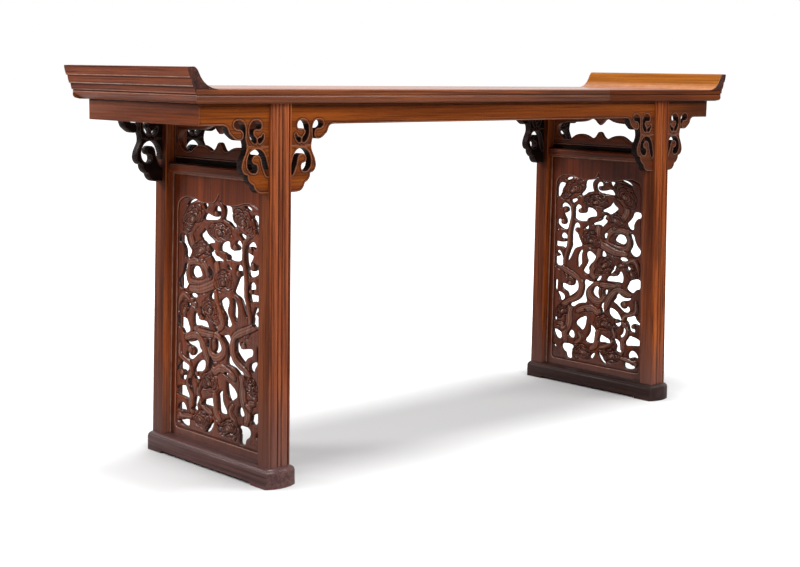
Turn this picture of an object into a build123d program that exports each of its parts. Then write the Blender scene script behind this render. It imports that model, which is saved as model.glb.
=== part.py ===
"""Altar table with everted ends, recessed legs on shoe feet and pierced end panels.

Millimetres. +Z up, +X along the table's length, -Y towards the front.
The origin is on the floor, at the centre of the footprint.
The legs use the elongated bridle joint: each leg top is slotted along X and clasps the
apron board, with a carved spandrel on either side of the leg.
"""

import os
from math import atan, cos, hypot, sin

from build123d import *

os.makedirs("parts", exist_ok=True)

# --- driving dimensions: the top -------------------------------------------------
surface_height = 860.0  # floor to the flat table surface
top_length = 1787.2  # over the long rails' mitred corners, without the end flare
top_depth = 474.8
top_thickness = 30.6
rail_width = 90.0  # the long rails; the end members are mitred to them
edge_band = 7.5  # upright band at the top of the front and rear edges
edge_round = 19.0  # height of the bulging band below it
edge_undercut = 10.4  # how far the edge moulding draws in at its underside
edge_quirk = 1.5  # small step between the two bands
edge_fullest = 0.4  # where the bulging band is fullest, as a share of its height
flange_rise = 44.0  # everted end above the surface
flange_flare = 20.6  # everted end beyond the mitred corner
flange_tip = 15.0  # flat strip on top of the everted end
flange_nose = 12.0  # rounding between that strip and the sweep
nose_share = 0.7  # how far along the rounding its middle point lies
flange_sweep_radius = 51.0
flange_steps = 3  # stepped bands up the outside of the everted end
flange_step_depth = 2.6
field_thickness = 14.0  # floating centre panel
field_tongue = 8.0  # floating panel into the frame's grooves
field_tongue_thickness = 7.0
field_gap = 0.5  # seasonal gap around the floating panel
rail_tenon_length = 55.0
rail_tenon_width = 30.0
rail_tenon_thickness = 10.0
batten_width = 34.0
batten_tenon = 14.0
batten_tenon_thickness = 8.0
batten_shoulder = 2.0  # batten's underside to its tenon
batten_key = 3.0  # depth of the dovetailed key let into the floating panel
batten_key_width = 20.0
batten_key_flare = 3.0  # the key's widening towards its top

# --- driving dimensions: aprons, legs and spandrels ------------------------------
apron_height = 44.8
apron_thickness = 15.0
apron_setback = 33.4  # top edge to the apron's front face
end_apron_setback = 23.9
leg_width = 57.0  # along X
leg_depth = 42.0  # along Y
leg_proud = 9.9  # leg face in front of the apron, at the top
leg_inset = 233.8  # the top's mitred corner to the leg's centre line, along X, under the top
splay_along = 12.7  # outward lean over the leg's height, along X
splay_across = 12.3  # outward lean over the leg's height, along Y
leg_tenon = 14.0
leg_tenon_width = 40.0
leg_tenon_thickness = 6.0
leg_housing = 3.0  # leg let into the foot
ear_drop = 46.6  # part of each spandrel that is cut from the apron board
spandrel_drop = 98.0  # the separate carved piece below it
spandrel_tongue = 22.0  # spandrel into the leg's slot
spandrel_key_width = 14.0
spandrel_key_height = 8.0
spandrel_key_thickness = 5.0

# --- driving dimensions: end frames and feet -------------------------------------
foot_height = 44.7
foot_width = 82.0
foot_toe = 2.0  # foot past the leg's outer face, at the foot's corners
foot_bow = 12.0  # bulge of the foot's rounded ends
foot_round = 13.0
arch_height = 6.0
arch_end = 53.0  # bearing length left at each end of a foot
arch_ogee = 9.0
arch_knee = (0.3, 0.7)  # middle point of the arch's rounded corner, as shares of its size
foot_tenon = 22.0
foot_tenon_width = 34.0
foot_tenon_depth = 22.0
end_rail_drop = 145.4  # underside of the top to the end rail's top
end_rail_height = 21.0
end_rail_thickness = 50.0
end_rail_bead = 4.0  # height of the bead strip under the end rail
end_rail_bead_thickness = 20.0
end_rail_tenon = 12.0
end_rail_tenon_height = 12.0
end_rail_tenon_thickness = 14.0
board_thickness = 12.0  # window board above the end rail
board_reveal = 12.0  # shadow strip between the board and the end rail
panel_thickness = 15.0
insert_depth = 6.0  # boards and panels into the grooves of legs, rails and feet
insert_thickness = 5.0
# size of the end frame's opening that the outlines below are drawn for
drawing_foot = 44.7  # level of the foot's top
drawing_height = 614.3  # foot to end rail
drawing_half_width = 174.6  # centre to leg, under the end rail

# --- clearances ------------------------------------------------------------------
joint_gap = 0.15  # each side of a tenon, tongue or board in its slot
end_gap = 0.5  # past the end of a tenon or tongue
overcut = 1.0  # cutters run this far past the face they cut from

# --- outlines --------------------------------------------------------------------
# Spandrel, as (distance from the leg's edge, distance below the apron's lower edge).
EAR_EDGE = [
    (129, 0), (121, 1.6), (115, 5.6), (111, 12.6), (107, 19.6), (100, 24.6), (93, 28.6),
    (83, 30.6), (74, 29.6), (68, 25.6), (66, 30.6), (64, 38.6),
]
SPANDREL_EDGE = [
    (66, 58.6), (70, 67.6), (73, 75.6), (74.5, 82.6), (74.5, 90.6), (71, 97.6), (64, 103.6),
    (59, 104.6), (57, 111.6), (54, 117.6), (49, 122.6), (43, 125.6), (41, 130.6),
    (38, 135.6), (33, 140.6), (25, 143.6),
]
# Eyes of the spandrel in the same coordinates: round openings, each with a tongue
# left standing in it, and the slit that frees the curl at the spandrel's shoulder.
UPPER_EYE_CENTRE = (34.5, 15.6)
UPPER_EYE_RADII = (20.5, 25)
UPPER_TONGUE = [(6, 12), (20, 10), (30, 7), (38, 11), (40, 19), (34, 25), (26, 22), (18, 23),
                (6, 27)]
LOWER_EYE_CENTRE = (36.5, 75)
LOWER_EYE_RADII = (23.5, 23.5)
LOWER_TONGUE = [(20, 106), (23, 88), (26, 74), (32, 66), (41, 66), (46, 74), (41, 82), (35, 78),
                (34, 88), (36, 96), (42, 106)]
CURL_EYE = [(67, 22), (68, 10), (71, -2), (78, -8), (87, -9), (95, -4), (97, 4), (91, 8), (85, 4),
            (79, 4), (74, 12), (71, 21)]

# Window in the board above the end rail: right half from the bottom centre to the top
# centre, as (distance from the centre, height above the end rail).
WINDOW_EDGE = [
    (0, 54), (7, 49), (15, 40), (25, 34.5), (38, 38), (50, 42), (66, 45), (82, 43), (98, 36),
    (112, 30), (132, 30), (146, 40), (156, 56), (150, 68), (138, 74), (120, 76), (100, 78),
    (80, 79), (60, 80), (45, 84), (28, 89), (17, 86), (8, 77), (0, 72),
]

# Piercings of the end panel, as (across the panel seen from outside, level).
PIERCINGS = [
    # top row: between the border and the first mushroom heads and curl
    [(-125, 586), (-117, 598), (-105, 604), (-90, 607), (-79, 605), (-98, 599), (-112, 593)],
    [(-62, 599), (-38, 599), (-45, 588), (-50, 583), (-54, 589)],
    [(-64, 560), (-54, 575), (-40, 577), (-25, 572), (-10, 571), (-1, 573), (2, 580),
     (-4, 584), (-12, 583), (-18, 588), (-12, 596), (-3, 597), (6, 592), (10, 582), (6, 571),
     (-3, 565), (-18, 563), (-40, 561)],
    [(-2, 609), (7, 610), (20, 603), (48, 598), (50, 588), (51, 575), (56, 565), (67, 555),
     (60, 550), (47, 556), (37, 564), (15, 567), (20, 575), (22, 585), (21, 594), (14, 601)],
    [(94, 604), (112, 604), (125, 595), (113, 593), (98, 599)],
    [(122, 584), (132, 587), (147, 585), (153, 575), (156, 560), (155, 544), (148, 541),
     (139, 550), (133, 566), (126, 578)],
    # second row: around the middle head and the hooks of the right-hand stem
    [(74, 540), (84, 544), (107, 536), (97, 526), (86, 531)],
    [(100, 512), (110, 523), (122, 528), (133, 526), (140, 517), (137, 509), (130, 514),
     (121, 517), (113, 513), (112, 505), (118, 498), (131, 497), (124, 487), (117, 478),
     (117, 468), (124, 463), (135, 464), (139, 470), (137, 477), (146, 480), (153, 474),
     (152, 463), (143, 455), (129, 449), (114, 448), (108, 460), (101, 478), (98, 495)],
    [(145, 448), (152, 450), (156, 444), (151, 438)],
    [(3, 500), (6, 510), (14, 516), (27, 520), (43, 520), (42, 511), (46, 503), (60, 501),
     (71, 504), (73, 510), (68, 514), (62, 515), (62, 521), (69, 526), (80, 526), (87, 517),
     (90, 500), (87, 481), (62, 477), (40, 479), (34, 489), (23, 494), (8, 495)],
    [(-76, 524), (-60, 533), (-52, 545), (-46, 536), (-40, 528), (-25, 521), (-13, 515),
     (-16, 510), (-30, 511), (-41, 504), (-55, 509), (-64, 516)],
    [(-155, 503), (-155, 520), (-126, 520), (-122, 505), (-112, 493), (-102, 486),
     (-108, 475), (-116, 468), (-131, 468), (-129, 483), (-136, 495), (-144, 502)],
    [(-33, 502), (-21, 503), (-14, 491), (-4, 483), (10, 479), (21, 474), (16, 470), (2, 473),
     (-8, 471), (-15, 463), (-24, 474), (-37, 485), (-34, 489), (-26, 492)],
    [(33, 467), (37, 471), (44, 463), (53, 457), (34, 456)],
    # third row: around the coiled body on the left and the dome head in the middle
    [(-129, 456), (-112, 458), (-117, 447), (-123, 436), (-125, 422), (-115, 410),
     (-121, 398), (-136, 392), (-152, 398), (-157, 412), (-149, 419), (-142, 426),
     (-136, 437), (-133, 448)],
    [(-106, 437), (-101, 448), (-90, 453), (-73, 452), (-66, 442), (-60, 433), (-74, 427),
     (-92, 423), (-102, 428)],
    [(-39, 454), (-31, 453), (-19, 447), (-25, 434), (-31, 428), (-36, 438)],
    [(64, 457), (68, 469), (77, 474), (87, 470), (95, 456), (98, 440), (97, 420), (94, 405),
     (101, 390), (109, 375), (113, 361), (106, 357), (98, 370), (90, 385), (82, 399),
     (54, 406), (60, 417), (68, 430), (72, 441), (81, 445), (84, 452), (79, 458), (73, 458)],
    [(111, 425), (116, 436), (126, 440), (136, 436), (140, 427), (134, 421), (121, 422),
     (117, 417), (122, 412), (140, 411), (158, 414), (158, 397), (145, 396), (131, 397),
     (120, 391), (114, 400), (111, 412)],
    [(-36, 384), (-30, 396), (-20, 402), (-15, 392), (-14, 381)],
    [(-114, 380), (-104, 388), (-90, 388), (-77, 384), (-90, 374)],
    [(4, 381), (10, 386), (24, 394), (36, 393), (43, 385), (40, 374), (35, 366), (40, 353),
     (51, 339), (53, 332), (36, 324), (25, 331), (31, 344), (24, 356), (12, 366)],
    [(52, 394), (61, 396), (71, 383), (75, 368), (73, 352), (73, 342), (66, 341), (61, 351),
     (55, 354), (57, 370), (57, 383)],
    [(125, 342), (128, 365), (133, 378), (141, 386), (150, 386), (154, 379), (147, 374),
     (142, 370), (148, 367), (158, 366), (158, 340), (142, 338)],
    [(-123, 363), (-105, 364), (-110, 353), (-119, 351)],
    [(-72, 361), (-62, 361), (-57, 350), (-48, 341), (-50, 335), (-62, 341), (-67, 351)],
    # fourth row: around the great curled stem on the right
    [(-97, 335), (-91, 346), (-82, 348), (-78, 336), (-66, 330), (-48, 330), (-40, 327),
     (-32, 313), (-50, 314), (-75, 315), (-93, 312), (-97, 322)],
    [(-159, 335), (-118, 325), (-113, 312), (-105, 300), (-123, 290), (-134, 289),
     (-143, 301), (-159, 303)],
    [(-19, 328), (-9, 326), (6, 313), (-1, 309), (-15, 315)],
    [(8, 307), (20, 305), (34, 310), (47, 309), (47, 295), (46, 284), (50, 270), (56, 257),
     (67, 247), (86, 238), (101, 231), (97, 223), (84, 223), (70, 234), (58, 239), (37, 241),
     (34, 250), (39, 263), (39, 276), (35, 286), (22, 294)],
    [(-10, 295), (1, 296), (13, 288), (15, 277), (7, 265), (-8, 258), (-13, 261), (-6, 275)],
    [(-42, 288), (-34, 291), (-27, 285), (-29, 271), (-37, 270), (-41, 278)],
    [(65, 290), (69, 304), (81, 310), (81, 292), (91, 285), (105, 287), (127, 291),
     (133, 285), (129, 273), (113, 268), (106, 262), (105, 252), (95, 256), (78, 267),
     (68, 278)],
    [(145, 298), (157, 299), (158, 285), (157, 265), (148, 264), (147, 280)],
    [(117, 250), (124, 259), (147, 265), (148, 258), (140, 250), (135, 234), (121, 241)],
    [(-129, 276), (-112, 272), (-96, 275), (-86, 280), (-79, 287), (-73, 276), (-67, 263),
     (-58, 257), (-72, 251), (-88, 239), (-102, 230), (-117, 232), (-124, 240), (-120, 250),
     (-111, 250), (-109, 243), (-99, 241), (-90, 246), (-87, 255), (-93, 262), (-108, 265),
     (-120, 267)],
    # fifth row: around the low mushroom head and the knotted body
    [(-30, 251), (-20, 251), (-16, 238), (-20, 219), (-34, 219), (-29, 238)],
    [(-92, 212), (-83, 226), (-66, 237), (-49, 239), (-45, 228), (-49, 217), (-63, 208),
     (-82, 207), (-86, 201), (-80, 197), (-70, 197), (-70, 189), (-79, 186), (-88, 189),
     (-94, 200)],
    [(-162, 196), (-161, 206), (-147, 215), (-139, 231), (-132, 223), (-110, 218),
     (-107, 213), (-119, 200), (-121, 190), (-125, 179), (-144, 177), (-143, 188),
     (-132, 189), (-130, 197), (-137, 203), (-150, 202)],
    [(-111, 187), (-99, 188), (-99, 175), (-95, 166), (-86, 161), (-93, 155), (-106, 162),
     (-112, 176)],
    [(-80, 176), (-67, 177), (-72, 167)],
    [(33, 205), (50, 198), (67, 190), (79, 175), (62, 165), (52, 157), (40, 167), (35, 185)],
    [(148, 187), (158, 185), (158, 175), (148, 174)],
    [(24, 216), (30, 223), (40, 226), (45, 221), (36, 217)],
    # bottom row
    [(-164, 141), (-164, 157), (-148, 163), (-123, 168), (-116, 158), (-106, 143),
     (-111, 135), (-130, 139)],
    [(-1, 168), (13, 178), (22, 181), (20, 166), (24, 150), (41, 132), (34, 125), (14, 124),
     (6, 127), (4, 150)],
    [(-159, 104), (-153, 118), (-140, 126), (-128, 124), (-119, 113), (-120, 103),
     (-127, 99), (-132, 105), (-146, 106)],
    [(-73, 153), (-63, 149), (-71, 140), (-79, 131), (-75, 120), (-77, 113), (-99, 113),
     (-99, 119), (-91, 123), (-90, 136), (-88, 146), (-80, 150)],
    [(-61, 131), (-52, 146), (-35, 151), (-20, 157), (-12, 146), (-10, 131), (-35, 135)],
    [(-48, 69), (-37, 79), (-30, 91), (-21, 96), (-16, 107), (-10, 104), (-15, 88), (-27, 74)],
    [(-1, 99), (9, 97), (23, 83), (12, 77), (3, 88)],
    [(77, 145), (87, 156), (100, 151), (105, 140), (96, 130), (80, 130)],
    [(125, 135), (134, 146), (160, 151), (158, 138), (147, 121), (131, 121)],
    [(80, 112), (121, 112), (129, 102), (123, 89), (111, 84), (109, 71), (100, 67), (85, 69),
     (88, 85), (85, 98)],
    [(145, 92), (148, 101), (160, 107), (158, 95)],
    [(-147, 83), (-145, 74), (-125, 69), (-107, 71), (-107, 89), (-122, 88), (-136, 82)],
]

# --- derived places --------------------------------------------------------------
underside = surface_height - top_thickness
half_length = top_length / 2
half_depth = top_depth / 2
leg_station = half_length - leg_inset  # table centre to leg centre, under the top
rail_inner = half_depth - rail_width
member_inner = half_length - rail_width
apron_bottom = underside - apron_height
apron_face = half_depth - apron_setback
apron_back = apron_face - apron_thickness
apron_middle = (apron_face + apron_back) / 2
apron_end = half_length - end_apron_setback
leg_height = underside - foot_height
foot_station = leg_station + splay_along
lean = atan(splay_along / leg_height)
mid_top = underside + top_thickness / 2
field_underside = surface_height - field_thickness
flange_top = surface_height + flange_rise
flange_reach = half_length + flange_flare
ear_bottom = apron_bottom - ear_drop
spandrel_bottom = ear_bottom - spandrel_drop
end_rail_top = underside - end_rail_drop
panel_top = end_rail_top - end_rail_height - end_rail_bead
batten_stations = [-leg_station, -leg_station / 2, 0, leg_station / 2, leg_station]
SIDES = {"left": -1, "right": 1}
ENDS = {"front": -1, "rear": 1}


def tongue_levels(gap=0.0):
    """Levels between which the floating panel's tongue and its groove lie."""
    return (field_underside - gap, field_underside + field_tongue_thickness + gap)


def leg_front(level):
    """Distance from the table's centre line to a leg's outer face, along Y."""
    lowered = (underside - level) / leg_height
    return apron_face + leg_proud + splay_across * lowered


def leg_inner(level):
    """Distance from the table's centre line to a leg's inner face, along Y."""
    return leg_front(level) - leg_depth


def block(x, y, z, gap=0.0, mode=Mode.ADD):
    """Block between two limits along each axis, grown by a gap on every side."""
    centre = [(low + high) / 2 for low, high in (x, y, z)]
    size = [abs(high - low) + 2 * gap for low, high in (x, y, z)]
    with Locations(tuple(centre)):
        Box(*size, mode=mode)


def finish(piece, name):
    """Label a finished piece and write it as its own node."""
    piece.part.label = name
    export_step(piece.part, f"parts/{name}.step")


def rounded(points):
    """Points of the smooth closed curve that an outline's straight sides are tangent to."""
    curve = []
    for before, here, after in zip(points[-1:] + points[:-1], points, points[1:] + points[:1]):
        curve.append(tuple((a + b) / 2 for a, b in zip(before, here)))
        curve.append(tuple((a + 6 * b + c) / 8 for a, b, c in zip(before, here, after)))
    return curve


def cut_along(plane, points, length):
    """Cut a prism of the given outline out of the part at hand."""
    with BuildSketch(plane) as outline:
        Polygon(*points, align=None)
    extrude(outline.sketch, amount=length, mode=Mode.SUBTRACT)


# --- top: long rails -------------------------------------------------------------
def rail_tenon_block(end, side, gap=0.0, mode=Mode.ADD):
    """Tenon of a long rail's end, halfway along the mitre; also cuts its mortise."""
    middle = half_depth - rail_width / 2
    root = half_length - rail_width / 2 - rail_tenon_width / 2
    block(
        (side * (root - end_gap), side * (root + rail_tenon_length)),
        (end * (middle - rail_tenon_width / 2), end * (middle + rail_tenon_width / 2)),
        (mid_top - rail_tenon_thickness / 2, mid_top + rail_tenon_thickness / 2),
        gap,
        mode,
    )


def leg_tenon_spans(side, end):
    """Limits along X and Y of the two tenons on a leg's top."""
    across = (side * leg_station - leg_tenon_width / 2, side * leg_station + leg_tenon_width / 2)
    outer = (apron_face + leg_front(underside)) / 2
    inner = (apron_back + leg_inner(underside)) / 2
    half = leg_tenon_thickness / 2
    return [(across, (end * (middle - half), end * (middle + half))) for middle in (outer, inner)]


for end_name, end in ENDS.items():
    with BuildPart() as rail:
        with BuildSketch(Plane.XY.offset(underside)):
            Polygon(
                (-half_length, end * half_depth), (half_length, end * half_depth),
                (member_inner, end * rail_inner), (-member_inner, end * rail_inner), align=None,
            )
        extrude(amount=top_thickness)
        # edge moulding: an upright band over a bulging one that draws in at the underside
        band_foot = surface_height - edge_band
        round_foot = band_foot - edge_round
        quirk = half_depth - edge_quirk
        with BuildSketch(Plane.YZ.offset(-half_length)):
            with BuildLine():
                Line((end * half_depth, band_foot), (end * quirk, band_foot - edge_quirk))
                ThreePointArc(
                    (end * quirk, band_foot - edge_quirk),
                    (end * half_depth, band_foot - edge_round * edge_fullest),
                    (end * (half_depth - edge_undercut / 2), round_foot),
                )
                Polyline(
                    (end * (half_depth - edge_undercut / 2), round_foot),
                    (end * (half_depth - edge_undercut), underside),
                    (end * (half_depth + overcut), underside),
                    (end * (half_depth + overcut), band_foot),
                    (end * half_depth, band_foot),
                )
            make_face()
        extrude(amount=top_length, mode=Mode.SUBTRACT)
        # groove for the floating panel
        groove = field_tongue + end_gap
        block((-half_length, half_length), (end * (rail_inner - overcut), end * (rail_inner + groove)),
              tongue_levels(joint_gap), 0, Mode.SUBTRACT)
        for side in SIDES.values():
            rail_tenon_block(end, side)
            for across, along in leg_tenon_spans(side, end):
                block(across, along, (underside - overcut, underside + leg_tenon + end_gap),
                      joint_gap, Mode.SUBTRACT)
        for station in batten_stations:
            block((station - batten_width / 2, station + batten_width / 2),
                  (end * (rail_inner - overcut), end * (rail_inner + batten_tenon + end_gap)),
                  (underside + batten_shoulder,
                   underside + batten_shoulder + batten_tenon_thickness),
                  joint_gap, Mode.SUBTRACT)
    finish(rail, f"top_rail_{end_name}")


# --- top: end members with the everted flange --------------------------------------
def flange_outside():
    """Points up the stepped outside of the everted end, as (reach, level)."""
    rise = (flange_top - underside) / (flange_steps + 1)
    flare = (flange_reach - half_length) / (flange_steps + 1)
    points = []
    for step in range(flange_steps + 1):
        level = underside + step * rise
        reach = half_length + step * flare
        points.append((reach, level))
        points.append((reach + flare - flange_step_depth * (step < flange_steps), level + rise))
    return points


for side_name, side in SIDES.items():
    nose_start = flange_reach - flange_tip
    sweep_end = nose_start - flange_nose
    sweep_drop = flange_rise - flange_nose
    sweep_run = (flange_sweep_radius**2 - (flange_sweep_radius - sweep_drop) ** 2) ** 0.5
    sweep_start = sweep_end - sweep_run
    half_run = sweep_run / 2
    half_rise = flange_sweep_radius - (flange_sweep_radius**2 - half_run**2) ** 0.5
    with BuildPart() as member:
        with BuildSketch(Plane.XZ.offset(half_depth)):
            with BuildLine():
                Polyline(*[(side * reach, level) for reach, level in flange_outside()],
                         (side * nose_start, flange_top))
                ThreePointArc(
                    (side * nose_start, flange_top),
                    (side * (nose_start - flange_nose * nose_share),
                     flange_top - flange_nose * (1 - nose_share)),
                    (side * sweep_end, flange_top - flange_nose),
                )
                ThreePointArc(
                    (side * sweep_end, surface_height + sweep_drop),
                    (side * (sweep_start + half_run), surface_height + half_rise),
                    (side * sweep_start, surface_height),
                )
                Polyline((side * sweep_start, surface_height), (side * member_inner, surface_height),
                         (side * member_inner, underside), (side * half_length, underside))
            make_face()
        extrude(amount=-top_depth)
        for end_name, end in ENDS.items():
            # the mitre against the long rail, under the flange
            cut_along(Plane.XY.offset(underside), [
                (side * half_length, end * half_depth), (side * member_inner, end * half_depth),
                (side * member_inner, end * rail_inner)], top_thickness)
            rail_tenon_block(end, side, joint_gap, Mode.SUBTRACT)
        block((side * (member_inner - overcut), side * (member_inner + field_tongue + end_gap)),
              (-rail_inner - field_tongue, rail_inner + field_tongue),
              tongue_levels(joint_gap), 0, Mode.SUBTRACT)
    finish(member, f"top_end_{side_name}")


# --- top: floating panel and battens ---------------------------------------------

def batten_key_cut(station, gap, mode):
    """Dovetailed key along a batten's top, wider at its top; also cuts its housing."""
    low = batten_key_width / 2 + gap
    high = low + batten_key_flare
    top_level = field_underside + batten_key + gap
    with BuildSketch(Plane.XZ.offset(-rail_inner)) as key:
        Polygon((station - low, field_underside), (station + low, field_underside),
                (station + high, top_level), (station - high, top_level), align=None)
    extrude(key.sketch, amount=2 * rail_inner, mode=mode)


with BuildPart() as field:
    block((-member_inner + field_gap, member_inner - field_gap),
          (-rail_inner + field_gap, rail_inner - field_gap), (field_underside, surface_height))
    block((-member_inner - field_tongue, member_inner + field_tongue),
          (-rail_inner - field_tongue, rail_inner + field_tongue),
          tongue_levels())
    for station in batten_stations:
        batten_key_cut(station, joint_gap, Mode.SUBTRACT)
finish(field, "top_panel")

board_key_half = rail_inner - batten_tenon  # half length of the window board's top key

for number, station in enumerate(batten_stations, start=1):
    with BuildPart() as batten:
        block((station - batten_width / 2, station + batten_width / 2),
              (-rail_inner, rail_inner), (underside, field_underside))
        batten_key_cut(station, 0, Mode.ADD)
        block((station - batten_width / 2, station + batten_width / 2),
              (-rail_inner - batten_tenon, rail_inner + batten_tenon),
              (underside + batten_shoulder, underside + batten_shoulder + batten_tenon_thickness))
        if abs(station) == leg_station:
            # housing for the key on top of the window board
            block((station - insert_thickness / 2, station + insert_thickness / 2),
                  (-board_key_half, board_key_half),
                  (underside - overcut, underside + insert_depth), joint_gap, Mode.SUBTRACT)
    finish(batten, f"top_batten_{number}")


# --- aprons with the spandrels' ears ---------------------------------------------
def mirrored(points, leg_edge, side_of_leg, leg_middle):
    """Place an outline drawn from a leg's edge on one side of that leg."""
    return [(leg_middle + side_of_leg * (leg_edge + across), apron_bottom - below)
            for across, below in points]


leg_half = leg_width / 2
leg_middle = leg_station + splay_along * apron_height / leg_height
ear_foot_reach = EAR_EDGE[-1][0]


def front_plane(end):
    """Plane of the apron's most forward face, for the front or the rear apron."""
    return Plane.XZ.offset(apron_face if end < 0 else -apron_back)


for end_name, end in ENDS.items():
    with BuildPart() as apron:
        with BuildSketch(front_plane(end)):
            Polygon((-apron_end, apron_bottom), (apron_end, apron_bottom),
                    (apron_end, underside), (-apron_end, underside), align=None)
            for side in SIDES.values():
                middle = side * leg_middle
                edge = EAR_EDGE + [(ear_foot_reach, ear_drop)]
                left = mirrored(edge, leg_half, -1, middle)
                right = mirrored(edge, leg_half, 1, middle)
                Polygon(*left, *reversed(right), align=None)
        extrude(amount=-apron_thickness)
        for side in SIDES.values():
            for side_of_leg in (-1, 1):
                middle = side * leg_middle
                with BuildSketch(front_plane(end)) as eyes:
                    with Locations(*mirrored([UPPER_EYE_CENTRE], leg_half, side_of_leg, middle)):
                        Ellipse(*UPPER_EYE_RADII)
                    with BuildLine():
                        Spline(*rounded(mirrored(UPPER_TONGUE, leg_half, side_of_leg, middle)),
                               periodic=True)
                    make_face(mode=Mode.SUBTRACT)
                    with BuildLine():
                        Spline(*rounded(mirrored(CURL_EYE, leg_half, side_of_leg, middle)),
                               periodic=True)
                    make_face()
                extrude(eyes.sketch, amount=apron_thickness, both=True, mode=Mode.SUBTRACT)
                # mortise for the key on top of the separate spandrel
                key_middle = middle + side_of_leg * (leg_half - spandrel_tongue / 2)
                block((key_middle - spandrel_key_width / 2, key_middle + spandrel_key_width / 2),
                      (end * (apron_middle - spandrel_key_thickness / 2),
                       end * (apron_middle + spandrel_key_thickness / 2)),
                      (ear_bottom - overcut, ear_bottom + spandrel_key_height + end_gap),
                      joint_gap, Mode.SUBTRACT)
            # mitre with the end apron
            cut_along(Plane.XY.offset(apron_bottom), [
                (side * (apron_end + overcut), end * (apron_face + overcut)),
                (side * (apron_end + overcut), end * (apron_back - overcut)),
                (side * (apron_end - apron_thickness - overcut), end * (apron_back - overcut))],
                apron_height)
    finish(apron, f"apron_{end_name}")

for side_name, side in SIDES.items():
    with BuildPart() as end_apron:
        with BuildSketch(Plane.XY.offset(apron_bottom)):
            Polygon((side * apron_end, -apron_face), (side * apron_end, apron_face),
                    (side * (apron_end - apron_thickness), apron_back),
                    (side * (apron_end - apron_thickness), -apron_back), align=None)
        extrude(amount=apron_height)
    finish(end_apron, f"apron_{side_name}")

# --- separate carved spandrels ---------------------------------------------------
PLACES = {"inner": -1, "outer": 1}
for side_name, side in SIDES.items():
    for end_name, end in ENDS.items():
        for place_name, place in PLACES.items():
            outward = side * place
            middle = side * leg_middle
            edge = [(-spandrel_tongue, ear_drop), (ear_foot_reach, ear_drop), *SPANDREL_EDGE,
                    (0, ear_drop + spandrel_drop), (-spandrel_tongue, ear_drop + spandrel_drop)]
            with BuildPart() as spandrel:
                with BuildSketch(front_plane(end)):
                    Polygon(*mirrored(edge, leg_half, outward, middle), align=None)
                extrude(amount=-apron_thickness)
                with BuildSketch(front_plane(end)) as eyes:
                    with Locations(*mirrored([LOWER_EYE_CENTRE], leg_half, outward, middle)):
                        Ellipse(*LOWER_EYE_RADII)
                    with BuildLine():
                        Spline(*rounded(mirrored(LOWER_TONGUE, leg_half, outward, middle)),
                               periodic=True)
                    make_face(mode=Mode.SUBTRACT)
                extrude(eyes.sketch, amount=apron_thickness, both=True, mode=Mode.SUBTRACT)
                key_middle = middle + outward * (leg_half - spandrel_tongue / 2)
                block((key_middle - spandrel_key_width / 2, key_middle + spandrel_key_width / 2),
                      (end * (apron_middle - spandrel_key_thickness / 2),
                       end * (apron_middle + spandrel_key_thickness / 2)),
                      (ear_bottom, ear_bottom + spandrel_key_height))
            finish(spandrel, f"spandrel_{side_name}_{end_name}_{place_name}")


# --- end frames: what the legs, rails and feet are grooved for -------------------
def end_plane(side):
    """Leaning middle plane of an end frame, with its own Y up the slope from the foot."""
    return Plane(origin=(side * foot_station, 0, foot_height), x_dir=(0, side, 0),
                 z_dir=(side * cos(lean), 0, sin(lean)))


def frame_station(level):
    """Distance from the table's centre to an end frame's middle plane, along X."""
    return leg_station + splay_along * (underside - level) / leg_height


def leaning_board(side, low, high, thickness, grow=0.0, mode=Mode.ADD):
    """Board between the legs from one level to another, grown into their grooves."""
    with BuildSketch(Plane.YZ) as face:
        Polygon((-leg_inner(low) - grow, low), (leg_inner(low) + grow, low),
                (leg_inner(high) + grow, high), (-leg_inner(high) - grow, high), align=None)
    foot_x = side * frame_station(low)
    head_x = side * frame_station(high)
    half = thickness / 2
    with BuildSketch(Plane.XZ.offset(half_depth)) as edge:
        Polygon((foot_x - half, low), (foot_x + half, low),
                (head_x + half, high), (head_x - half, high), align=None)
    outline = extrude(face.sketch, amount=side * half_length, mode=Mode.PRIVATE)
    slab = extrude(edge.sketch, amount=-top_depth, mode=Mode.PRIVATE)
    add(outline & slab, mode=mode)


def panel_insert(side, gap=0.0, mode=Mode.ADD):
    """Tongue all round an end panel; also cuts its grooves."""
    past = insert_depth + gap
    leaning_board(side, foot_height - past, panel_top + past,
                  insert_thickness + 2 * (gap > 0) * joint_gap, past, mode)


def board_insert(side, gap=0.0, mode=Mode.ADD):
    """Tongue down both ends and along the foot of a window board; also cuts its grooves."""
    past = insert_depth + gap
    leaning_board(side, end_rail_top - past, underside,
                  insert_thickness + 2 * (gap > 0) * joint_gap, past, mode)


def rail_insert(side, gap=0.0, mode=Mode.ADD):
    """Tenons on both ends of an end rail, as one bar; also cuts their mortises."""
    middle = end_rail_top - end_rail_height / 2
    half = end_rail_tenon_height / 2 + (gap > 0) * joint_gap
    leaning_board(side, middle - half, middle + half,
                  end_rail_tenon_thickness + 2 * (gap > 0) * joint_gap, end_rail_tenon + gap, mode)


# --- legs ------------------------------------------------------------------------
def leg_body(side, end, low, high, mode=Mode.ADD):
    """Leaning leg between two levels, without its joints."""
    centre = (side * frame_station(low), end * (leg_front(low) - leg_depth / 2))
    with BuildSketch(Plane.XY.offset(low)) as foot_print:
        with Locations(centre):
            Rectangle(leg_width, leg_depth)
    share = (high - low) / leg_height
    slope = (-side * splay_along * share, -end * splay_across * share, high - low)
    extrude(foot_print.sketch, amount=hypot(*slope), dir=slope, mode=mode)


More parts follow.
